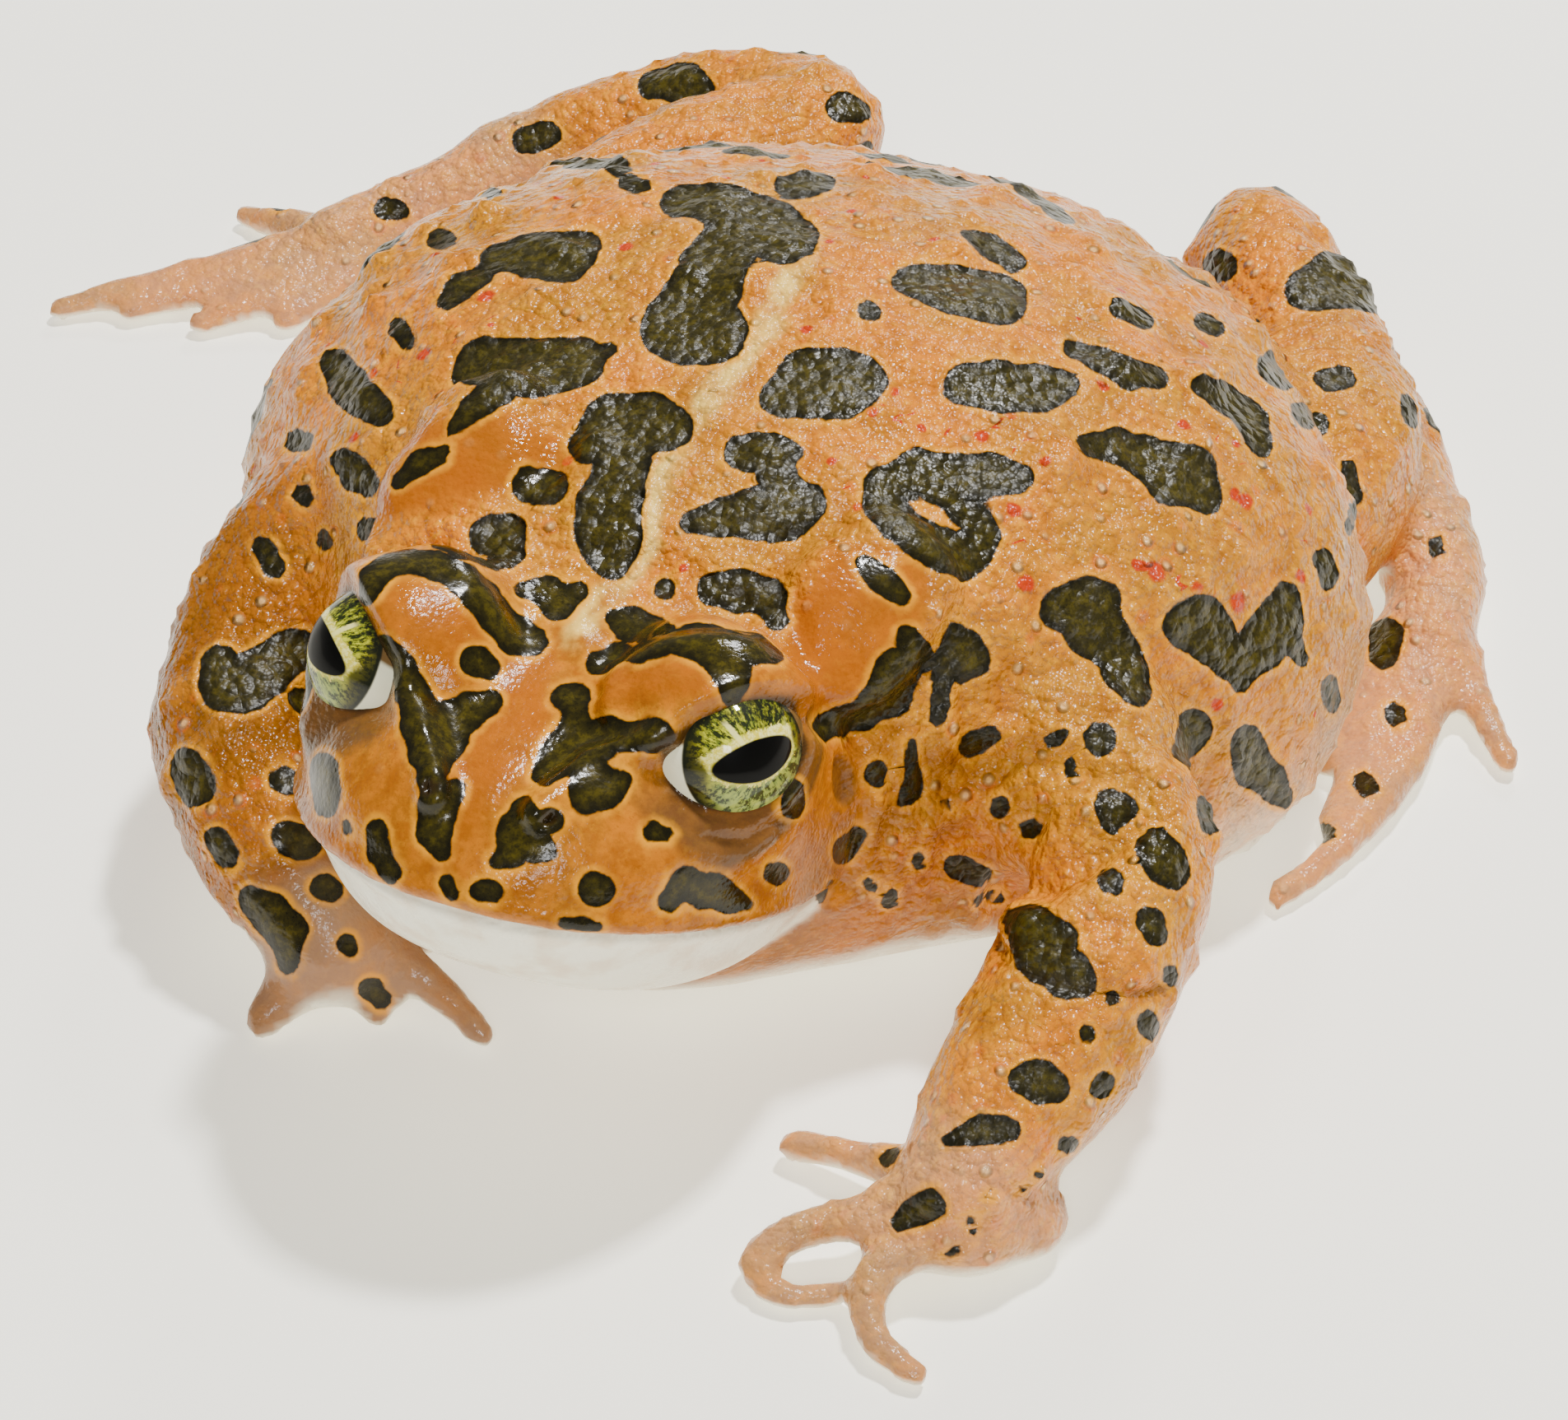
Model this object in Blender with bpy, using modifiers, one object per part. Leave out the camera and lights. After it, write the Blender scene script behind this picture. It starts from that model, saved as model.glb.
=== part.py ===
"""European green toad, life size, sitting with its body puffed up on folded legs.

The toad looks along -Y, its left is +X, and it rests on the floor at z = 0. The origin lies on
the flat under its belly, below the middle of the back. Sizes below are in millimetres and
become metres through MM.
"""
import math
from itertools import product

import bmesh
import bpy
import numpy as np
from mathutils import Matrix, Vector

MM = 0.001
GAP = 0.3                      # clear space between touching pieces
WELD = 0.04                    # points closer than this are one after a cut or join
FLOOR = 0.0                    # height of every flat that touches the ground

# The body, from the snout at y = SNOUT_Y to the vent at y = VENT_Y
SNOUT_Y = -37.6
VENT_Y = 35.5
BODY_HALF_WIDTH = 29.3
BACK_HEIGHT = 26.6
NECK = Vector((0.0, -19.6, 15.0))      # where the head meets the body
NECK_TILT = math.radians(14)

# The head is drawn symmetric and then turned a little about the point between its eyes
HEAD_CENTRE = Vector((-0.75, -26.3, 19.4))
HEAD_YAW = math.radians(1.2)
HEAD_ROLL = math.radians(2.5)
EYE_RADIUS = 4.0
EYE_SPREAD = 7.45              # from the middle of the head to an eyeball's centre
EYE_HEIGHT = 20.3
EYE_OUTWARD = math.radians(52)  # between the heading and where an eye looks
EYE_UPWARD = math.radians(14)
LID_THICKNESS = 0.85
MOUTH_CORNER = Vector((11.8, -23.6, 10.9))
MOUTH_TIP = Vector((0.0, -37.2, 16.9))
NOSTRIL = Vector((2.6, -34.6, 20.6))
JAW_INSET = 0.965              # the lower jaw closes just inside the upper lip
EARDRUM = Vector((11.4, -21.4, 15.6))
EARDRUM_SIZE = (1.0, 1.45)     # half width and half height

SEED = 11
WART_COUNT = 34

# Facets that each soft form keeps
FACETS = {
    "head": 2300, "arm": 1150, "thigh": 220, "shank": 240, "foot": 1050, "parotoid": 240,
}

SKIN = ("skin", (0.58, 0.30, 0.13), 0.38)
GLAND = ("gland_skin", (0.60, 0.22, 0.09), 0.34)
THROAT = ("throat_skin", (0.80, 0.72, 0.55), 0.45)
EYE = ("eye", (0.30, 0.34, 0.08), 0.08)
EARDRUM_SKIN = ("eardrum_skin", (0.42, 0.24, 0.12), 0.45)


def clear_scene():
    """Empties the file of its objects and makes the two collections."""
    for thing in list(bpy.data.objects):
        bpy.data.objects.remove(thing, do_unlink=True)
    made = []
    for name in ("green_toad", "cutters"):
        group = bpy.data.collections.new(name)
        bpy.context.scene.collection.children.link(group)
        made.append(group)
    return made


PARTS, CUTTERS = clear_scene()


def mesh_object(name, mesh, group=None):
    """Puts a mesh in the scene, among the cutters unless a group is given."""
    thing = bpy.data.objects.new(name, mesh)
    (group or CUTTERS).objects.link(thing)
    return thing


def from_bmesh(name, bm):
    mesh = bpy.data.meshes.new(name)
    bm.to_mesh(mesh)
    bm.free()
    return mesh_object(name, mesh)


def remove(*things):
    for thing in things:
        bpy.data.objects.remove(thing, do_unlink=True)


def settle(thing):
    """Turns an object's modifiers and transform into plain mesh at the origin."""
    bpy.context.view_layer.update()
    graph = bpy.context.evaluated_depsgraph_get()
    mesh = bpy.data.meshes.new_from_object(thing.evaluated_get(graph))
    mesh.transform(thing.matrix_world)
    name = thing.name
    remove(thing)
    return mesh_object(name, mesh)


def copy_of(thing):
    return mesh_object(thing.name + "_copy", thing.data.copy())


def facet_count(thing):
    return sum(len(face.vertices) - 2 for face in thing.data.polygons)


def ball(centre, size, turn=None, rings=3):
    """A sphere or ellipsoid: centre and half sizes in millimetres, turn a rotation matrix."""
    bm = bmesh.new()
    bmesh.ops.create_icosphere(bm, subdivisions=rings, radius=MM)
    half = Vector(size) if hasattr(size, "__len__") else Vector((size, size, size))
    place = Matrix.Translation(Vector(centre) * MM)
    if turn is not None:
        place = place @ turn.to_4x4()
    bmesh.ops.transform(bm, matrix=place @ Matrix.Diagonal(half).to_4x4(), verts=bm.verts)
    return from_bmesh("ball", bm)


def bead(centre, size, turn):
    """A small flattened ball of few facets, for a wart."""
    bm = bmesh.new()
    bmesh.ops.create_uvsphere(bm, u_segments=8, v_segments=5, radius=MM)
    place = Matrix.Translation(Vector(centre) * MM) @ turn.to_4x4()
    bmesh.ops.transform(bm, matrix=place @ Matrix.Diagonal(Vector(size)).to_4x4(), verts=bm.verts)
    return from_bmesh("bead", bm)


def smooth_path(knots, steps):
    """Catmull-Rom points through rows of x, y, z and radius."""
    rows = np.array([knots[0], *knots, knots[-1]], dtype=float)
    points = []
    for i in range(1, len(rows) - 2):
        a, b, c, d = rows[i - 1:i + 3]
        for t in np.arange(steps) / steps:
            points.append(0.5 * (2 * b + (c - a) * t + (2 * a - 5 * b + 4 * c - d) * t ** 2
                                 + (3 * b - a - 3 * c + d) * t ** 3))
    points.append(rows[-2])
    return points


def limb(knots, steps=4):
    """A round tapered limb through rows of x, y, z and radius, with round ends."""
    points = smooth_path(knots, steps)
    curve = bpy.data.curves.new("limb", "CURVE")
    curve.dimensions = "3D"
    curve.bevel_depth = MM
    curve.bevel_resolution = 3
    curve.use_fill_caps = True
    spline = curve.splines.new("POLY")
    spline.points.add(len(points) - 1)
    for target, (x, y, z, radius) in zip(spline.points, points):
        target.co = (x * MM, y * MM, z * MM, 1.0)
        target.radius = radius
    made = settle(mesh_object("limb", curve))
    bm = bmesh.new()
    bm.from_mesh(made.data)
    bmesh.ops.remove_doubles(bm, verts=bm.verts, dist=0.00001)
    bmesh.ops.recalc_face_normals(bm, faces=bm.faces)
    bm.to_mesh(made.data)
    bm.free()
    ends = [ball(points[i][:3], points[i][3], rings=2) for i in (0, -1)]
    return [made, *ends]


def loft(sections, sides, levels):
    """A closed skin over rings of points, rounded by Subdivision Surface."""
    bm = bmesh.new()
    rings = []
    for section in sections:
        rings.append([bm.verts.new(Vector(p) * MM) for p in section])
    for low, high in zip(rings, rings[1:]):
        for i in range(sides):
            j = (i + 1) % sides
            bm.faces.new((low[i], low[j], high[j], high[i]))
    bm.faces.new(rings[0][::-1])
    bm.faces.new(rings[-1])
    for cap in (rings[0], rings[-1]):
        face = [f for f in bm.faces if set(f.verts) == set(cap)][0]
        bmesh.ops.poke(bm, faces=[face])
    bmesh.ops.recalc_face_normals(bm, faces=bm.faces)
    made = from_bmesh("loft", bm)
    rounding = made.modifiers.new("rounding", "SUBSURF")
    rounding.levels = rounding.render_levels = levels
    return settle(made)


def fuse(name, pieces, voxel, smoothing, facets):
    """Melts overlapping closed pieces into one soft skin of about the given facet count."""
    bm = bmesh.new()
    for piece in pieces:
        bm.from_mesh(piece.data)
    remove(*pieces)
    made = from_bmesh(name, bm)
    melt = made.modifiers.new("melt", "REMESH")
    melt.mode = "VOXEL"
    melt.voxel_size = voxel * MM
    soften = made.modifiers.new("soften", "SMOOTH")
    soften.factor = 0.5
    soften.iterations = smoothing
    made = keep_largest(settle(made))
    thin = made.modifiers.new("thin", "DECIMATE")
    thin.ratio = min(1.0, facets / facet_count(made))
    return settle(made)


def keep_largest(thing):
    """Drops every loose scrap and sealed hollow, so that one closed surface stays."""
    bm = bmesh.new()
    bm.from_mesh(thing.data)
    left = set(bm.verts)
    groups = []
    while left:
        group = {left.pop()}
        edge = list(group)
        while edge:
            vert = edge.pop()
            for link in vert.link_edges:
                other = link.other_vert(vert)
                if other in left:
                    left.remove(other)
                    group.add(other)
                    edge.append(other)
        groups.append(group)
    groups.sort(key=len, reverse=True)
    loose = [vert for group in groups[1:] for vert in group]
    bmesh.ops.delete(bm, geom=loose, context="VERTS")
    bm.to_mesh(thing.data)
    bm.free()
    return thing


def measured(thing):
    """The volume of a mesh, and whether it is closed."""
    bm = bmesh.new()
    bm.from_mesh(thing.data)
    volume = bm.calc_volume(signed=True)
    closed = all(edge.is_manifold for edge in bm.edges)
    bm.free()
    return volume, closed


def welded(thing, distance):
    """A mesh in triangles, with points closer together than a distance in millimetres merged."""
    bm = bmesh.new()
    bm.from_mesh(thing.data)
    bmesh.ops.remove_doubles(bm, verts=bm.verts, dist=distance * MM)
    bmesh.ops.triangulate(bm, faces=bm.faces)
    bmesh.ops.dissolve_degenerate(bm, edges=bm.edges, dist=distance * MM / 10)
    bm.to_mesh(thing.data)
    bm.free()
    return thing


def boolean(thing, others, operation):
    """Cuts or joins a mesh with a list of closed meshes, which are then removed.

    EXACT goes first. MANIFOLD, and then a finer weld, take over where the result is an open
    mesh or loses the body.
    """
    group = bpy.data.collections.new("operands")
    bpy.context.scene.collection.children.link(group)
    for other in others:
        group.objects.link(other)
    before, _ = measured(thing)
    made = None
    for weld, solver in product((WELD, WELD / 8), ("EXACT", "MANIFOLD")):
        if made is not None:
            remove(made)
        trial = copy_of(thing)
        step = trial.modifiers.new("step", "BOOLEAN")
        step.operation = operation
        step.solver = solver
        step.operand_type = "COLLECTION"
        step.collection = group
        made = keep_largest(welded(settle(trial), weld))
        volume, closed = measured(made)
        if closed and volume > before / 4:
            break
    name = thing.name
    remove(thing, *others)
    bpy.data.collections.remove(group)
    made.name = name
    return made


def swollen(thing, by=GAP):
    """A copy that is larger all round, to cut a neighbour clear."""
    made = copy_of(thing)
    grow = made.modifiers.new("grow", "DISPLACE")
    grow.strength = by * MM
    grow.mid_level = 0.0
    return settle(made)


def clear_of(thing, *neighbours):
    """Cuts a piece back so that it meets its neighbours face to face."""
    for other in neighbours:
        thing = boolean(thing, [swollen(other)], "DIFFERENCE")
    return thing


def sliced(thing, point, normal):
    """What is left of a piece behind a plane, with the cut closed flat."""
    bm = bmesh.new()
    bm.from_mesh(thing.data)
    whole = bm.verts[:] + bm.edges[:] + bm.faces[:]
    bmesh.ops.bisect_plane(bm, geom=whole, dist=1e-7, plane_co=Vector(point) * MM,
                           plane_no=Vector(normal), clear_outer=True)
    rim = [e for e in bm.edges if e.is_boundary]
    made = bmesh.ops.edgeloop_fill(bm, edges=rim)
    bmesh.ops.triangulate(bm, faces=made["faces"])
    bmesh.ops.recalc_face_normals(bm, faces=bm.faces)
    bm.to_mesh(thing.data)
    bm.free()
    return thing


def parted(thing, point, normal):
    """Two pieces of one limb, on either side of a plane and a gap apart."""
    normal = Vector(normal).normalized()
    point = Vector(point)
    ahead = keep_largest(sliced(copy_of(thing), point + normal * GAP / 2, -normal))
    behind = keep_largest(sliced(thing, point - normal * GAP / 2, normal))
    return behind, ahead


def finish(thing, name, look):
    """Names a solid, dresses it and puts it with the toad's parts."""
    material = bpy.data.materials.get(look[0])
    if material is None:
        material = bpy.data.materials.new(look[0])
        material.use_nodes = True
        shader = material.node_tree.nodes["Principled BSDF"]
        shader.inputs["Base Color"].default_value = (*look[1], 1.0)
        shader.inputs["Roughness"].default_value = look[2]
        shader.inputs["Metallic"].default_value = 0.0
    bm = bmesh.new()
    bm.from_mesh(thing.data)
    bmesh.ops.triangulate(bm, faces=bm.faces)
    bm.to_mesh(thing.data)
    bm.free()
    thing.data.materials.clear()
    thing.data.materials.append(material)
    thing.data.shade_smooth()
    for group in list(thing.users_collection):
        group.objects.unlink(thing)
    PARTS.objects.link(thing)
    thing.name = name
    thing.data.name = name
    return thing


def body_section(y, half_width, low_share, top, bottom, widest, sag=0.8):
    """One ring of the body: a crowned back, round flanks and a flatter belly.

    low_share is the belly's width as a share of the flanks'. A smaller sag gives fuller flanks.
    """
    points = []
    for i in range(16):
        angle = math.tau * i / 16
        side, rise = math.cos(angle), math.sin(angle)
        if rise >= 0:
            z = widest + (top - widest) * rise ** 0.92
            x = half_width * math.copysign(abs(side) ** 0.9, side)
        else:
            z = widest - (widest - bottom) * abs(rise) ** sag
            narrowing = 1 + (low_share - 1) * -rise
            x = half_width * math.copysign(abs(side) ** sag, side) * narrowing
        points.append((x, y, z))
    return points


def make_torso():
    """The puffed body, from inside the neck to the vent."""
    w, h = BODY_HALF_WIDTH, BACK_HEIGHT
    sections = [
        body_section(-27.5, 5.0, 0.9, h - 9.5, 4.6, 11.6),
        body_section(-23.0, 10.6, 0.95, h - 5.0, 1.4, 11.6),
        body_section(-18.6, 15.4, 0.95, h - 2.6, 0.0, 11.0),
        body_section(-14.0, 20.8, 0.97, h - 1.0, -1.0, 9.6, 0.7),
        body_section(-7.5, 27.0, 0.98, h + 0.4, -1.4, 8.0, 0.62),
        body_section(0.0, w + 0.6, 0.98, h + 0.8, -1.4, 7.6, 0.6),
        body_section(7.5, w - 0.4, 0.9, h + 0.1, -1.2, 8.4, 0.66),
        body_section(14.5, w - 5.0, 0.64, h - 2.4, -0.2, 11.0),
        body_section(21.5, w - 12.6, 0.66, h - 6.4, 1.0, 11.0),
        body_section(28.5, w - 18.2, 0.7, h - 11.2, 3.0, 9.4),
        body_section(VENT_Y - 1.0, 6.0, 0.7, h - 16.6, 5.4, 8.0),
    ]
    return loft(sections, 16, 1)


def on_surface(thing, direction, start):
    """Where a ray from a point inside meets the skin, with the skin's normal there."""
    hit, place, normal, _ = thing.ray_cast(Vector(start) * MM, Vector(direction).normalized())
    return (place / MM, normal) if hit else (None, None)


def back_warts(torso):
    """Low round warts, scattered over the back and thicker along the flanks."""
    draw = np.random.default_rng(SEED)
    placed, warts = [], []
    bpy.context.view_layer.update()
    while len(warts) < WART_COUNT:
        y = draw.uniform(-15.0, 24.0)
        lean = math.radians(draw.uniform(-78.0, 78.0))
        size = draw.uniform(0.7, 1.15) + 0.35 * abs(math.sin(lean))
        place, normal = on_surface(torso, (math.sin(lean), 0.0, math.cos(lean)), (0, y, 12.0))
        by_leg = place.z < 16.5 and y > 0.0
        by_shoulder = abs(place.x) > 4.5 and y < -5.5
        crowded = any((place - other).length < 4.6 for other in placed)
        if by_leg or by_shoulder or crowded:
            continue
        placed.append(place)
        turn = normal.to_track_quat("Z", "Y").to_matrix()
        warts.append(bead(place - normal * 0.15, (size, size, size * 0.62), turn))
    return warts


def head_section(y, half_width, top, bottom, brow):
    """One ring of the head: flat between the eyes, with full cheeks."""
    middle = (top + bottom) / 2 + brow
    points = []
    for i in range(14):
        angle = math.tau * (i + 0.5) / 14
        side, rise = math.cos(angle), math.sin(angle)
        x = half_width * math.copysign(abs(side) ** 0.75, side)
        reach = (top - middle) if rise >= 0 else (middle - bottom)
        z = middle + reach * math.copysign(abs(rise) ** 0.7, rise)
        points.append((x, y, z))
    return points


def mirrored(point, side):
    return Vector((point[0] * side, point[1], point[2]))


def head_turn():
    """The small turn of the whole head about the point between its eyes."""
    turn = Matrix.Rotation(HEAD_YAW, 4, "Z") @ Matrix.Rotation(HEAD_ROLL, 4, "Y")
    return (Matrix.Translation(Vector((HEAD_CENTRE.x, HEAD_CENTRE.y, HEAD_CENTRE.z)) * MM) @ turn
            @ Matrix.Translation(Vector((0, -HEAD_CENTRE.y, -HEAD_CENTRE.z)) * MM))


def eye_centre(side):
    return Vector((EYE_SPREAD * side, HEAD_CENTRE.y, EYE_HEIGHT))


def eye_axis(side):
    flat = math.cos(EYE_UPWARD)
    return Vector((side * flat * math.sin(EYE_OUTWARD), -flat * math.cos(EYE_OUTWARD),
                   math.sin(EYE_UPWARD)))


def make_head():
    """The head with its brows, lids, snout and lips, before the cuts."""
    sections = [
        head_section(-16.0, 12.8, 23.6, 4.2, 0.0),
        head_section(-20.0, 12.8, 23.2, 4.6, 0.4),
        head_section(-24.0, 12.6, 22.6, 5.2, 0.6),
        head_section(-28.0, 11.8, 22.2, 6.4, 0.8),
        head_section(-31.6, 10.0, 21.6, 8.4, 0.9),
        head_section(-34.6, 7.4, 20.9, 11.0, 0.6),
        head_section(-36.6, 4.4, 19.6, 13.6, 0.3),
        head_section(SNOUT_Y + 0.1, 1.8, 18.4, 15.4, 0.0),
    ]
    pieces = [loft(sections, 14, 2)]
    for side in (1, -1):
        pieces.append(ball(eye_centre(side), EYE_RADIUS + LID_THICKNESS))
        cheek = mirrored((8.4, -25.6, 16.8), side)
        pieces.append(ball(cheek, (3.6, 4.4, 3.2)))
        brow = mirrored((4.8, -26.0, 21.9), side)
        pieces.append(ball(brow, (2.6, 3.6, 2.2)))
        lower = eye_centre(side) + eye_axis(side) * 1.2 - Vector((0, 0, 1.9))
        pieces.append(ball(lower, (3.4, 3.4, 2.6)))
        ridge = [(*mirrored((5.4, -29.4, 21.0), side), 1.7),
                 (*mirrored((4.0, -32.4, 20.6), side), 1.3), (*mirrored(NOSTRIL, side), 0.9)]
        pieces.extend(limb(ridge))
        upper_lip = [(*mirrored((11.3, -23.0, 12.2), side), 1.0), (*mirrored((10.6, -28.4, 14.0), side), 1.0),
                     (*mirrored((7.6, -33.4, 15.9), side), 1.0), (*mirrored((3.6, -36.2, 17.0), side), 1.0),
                     (0.0, MOUTH_TIP.y + 0.6, 17.3, 0.95)]
        pieces.extend(limb(upper_lip))
    return fuse("skull", pieces, 0.42, 5, FACETS["head"])


def mouth_plane():
    """A point on the line of the mouth and the upward normal of its plane."""
    along = (MOUTH_CORNER - MOUTH_TIP)
    along.x = 0
    along.normalize()
    return MOUTH_CORNER.copy(), Vector((0, along.z, -along.y)) * (1 if along.y < 0 else -1)


def cut_head(head):
    """Opens the eyes, nostrils and mouth, and sets the lower jaw apart."""
    cutters = []
    for side in (1, -1):
        centre, axis = eye_centre(side), eye_axis(side)
        cutters.append(ball(centre, EYE_RADIUS + GAP))
        turn = axis.to_track_quat("Z", "Y").to_matrix()
        cutters.append(ball(centre + axis * 3.6, (2.95, 2.25, 3.4), turn))
        look = Vector((0.55 * side, -0.6, 0.5)).normalized()
        turn = look.to_track_quat("Z", "Y").to_matrix()
        cutters.append(ball(mirrored(NOSTRIL, side) + look * 0.75, (0.4, 0.62, 1.0), turn, rings=2))
    return boolean(head, cutters, "DIFFERENCE")


def make_head_parts(skull):
    """Head, lower jaw, eyes and eardrums."""
    head = cut_head(skull)
    point, up = mouth_plane()
    hinge_y = MOUTH_CORNER.y + 0.4
    jaw = copy_of(head)
    hinge = Matrix.Translation(Vector((0, hinge_y, 0)) * MM)
    inset = Matrix.Diagonal(Vector((JAW_INSET, JAW_INSET, 1.0))).to_4x4()
    jaw.data.transform(hinge @ inset @ hinge.inverted())
    jaw = sliced(jaw, point - up * GAP, up)
    jaw = keep_largest(sliced(jaw, (0, hinge_y - GAP, 0), (0, 1, 0)))
    wedge = ball(point, 40.0, rings=1)
    wedge = sliced(sliced(wedge, point, up), (0, hinge_y, 0), (0, 1, 0))
    head = boolean(head, [wedge], "DIFFERENCE")
    eyes = {}
    drums = {}
    for side, name in ((1, "left"), (-1, "right")):
        eyes[name] = ball(eye_centre(side), EYE_RADIUS)
        place = mirrored(EARDRUM, side)
        out = Vector((side, -0.25, 0.1)).normalized()
        turn = out.to_track_quat("Z", "Y").to_matrix()
        wide, tall = EARDRUM_SIZE
        hollow = ball(place, (wide + GAP, tall + GAP, 1.5), turn)
        head = boolean(head, [hollow], "DIFFERENCE")
        drums[name] = ball(place + out * 0.15, (wide, tall, 1.1), turn, rings=2)
    turn = head_turn()
    for thing in (head, jaw, *eyes.values(), *drums.values()):
        thing.data.transform(turn)
    return head, jaw, eyes, drums


# Pads of each parotoid gland as rows of x, y, half length, half width and thickness
PAROTOIDS = {
    "left": [(8.8, -20.0, 2.6, 3.0, 1.9), (10.0, -17.8, 3.4, 3.9, 2.1), (10.9, -15.4, 2.8, 3.4, 1.9)],
    "right": [(-9.0, -17.8, 2.8, 3.4, 1.9), (-10.0, -15.4, 3.4, 4.6, 2.1), (-10.2, -13.2, 2.8, 3.9, 1.9)],
}

# Limbs as rows of x, y, z and radius, from the body outwards
ARMS = {
    "left": {
        "arm": [(12.0, -10.5, 13.4, 5.2), (18.0, -13.0, 12.8, 4.9), (22.6, -16.0, 11.0, 4.3),
                (23.3, -20.4, 9.4, 4.3), (22.6, -26.2, 6.8, 4.0), (21.2, -30.6, 4.8, 3.3),
                (20.7, -33.0, 3.4, 2.9)],
        "elbow": ((23.1, -17.4, 10.6), (0.45, -1.0, -0.35)),
        "wrist": ((21.6, -30.8, 4.7), (-0.25, -0.85, -0.45)),
        "palm": [((20.6, -33.6, 2.6), (3.7, 2.9, 2.2)), ((23.4, -31.8, 1.9), (2.2, 2.2, 1.7))],
        "fingers": [
            [(19.4, -31.8, 2.6, 1.3), (15.6, -30.6, 1.9, 1.0), (12.0, -30.2, 1.1, 0.85)],
            [(18.6, -34.2, 2.8, 1.4), (15.0, -36.0, 2.4, 1.05), (12.9, -37.7, 1.2, 0.9),
             (14.7, -39.1, 0.8, 0.8), (16.9, -38.0, 0.7, 0.75)],
            [(19.6, -35.0, 2.6, 1.4), (18.6, -38.0, 2.0, 1.05), (19.4, -40.2, 1.1, 0.9),
             (21.8, -41.3, 0.7, 0.75)],
            [(22.6, -32.6, 1.9, 1.3), (23.0, -33.4, 1.3, 1.0), (21.4, -34.3, 0.8, 0.8)],
        ],
    },
    "right": {
        "arm": [(-14.0, -7.6, 14.0, 5.4), (-18.8, -10.4, 12.8, 5.1), (-21.1, -15.2, 9.8, 4.4),
                (-20.0, -19.8, 8.0, 4.3), (-16.6, -24.2, 6.3, 4.1), (-13.4, -26.6, 4.6, 3.2),
                (-12.0, -27.6, 3.4, 2.9)],
        "elbow": ((-21.1, -16.0, 9.4), (0.1, -1.0, -0.4)),
        "wrist": ((-13.8, -26.4, 4.8), (0.7, -0.6, -0.35)),
        "palm": [((-11.6, -26.6, 2.6), (2.9, 3.0, 2.2)), ((-13.2, -27.2, 1.9), (2.0, 2.0, 1.6))],
        "fingers": [
            [(-10.6, -25.6, 2.4, 1.3), (-9.0, -23.4, 1.6, 1.0), (-8.2, -21.4, 0.9, 0.8)],
            [(-10.0, -26.6, 2.6, 1.4), (-7.0, -27.1, 1.9, 1.05), (-4.2, -28.3, 0.8, 0.8)],
            [(-11.0, -27.4, 2.6, 1.4), (-10.2, -28.1, 1.7, 1.05), (-9.5, -28.5, 0.8, 0.85)],
            [(-12.8, -27.6, 2.2, 1.4), (-13.7, -29.6, 1.5, 1.2), (-14.3, -31.0, 0.9, 1.0)],
        ],
    },
}

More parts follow.
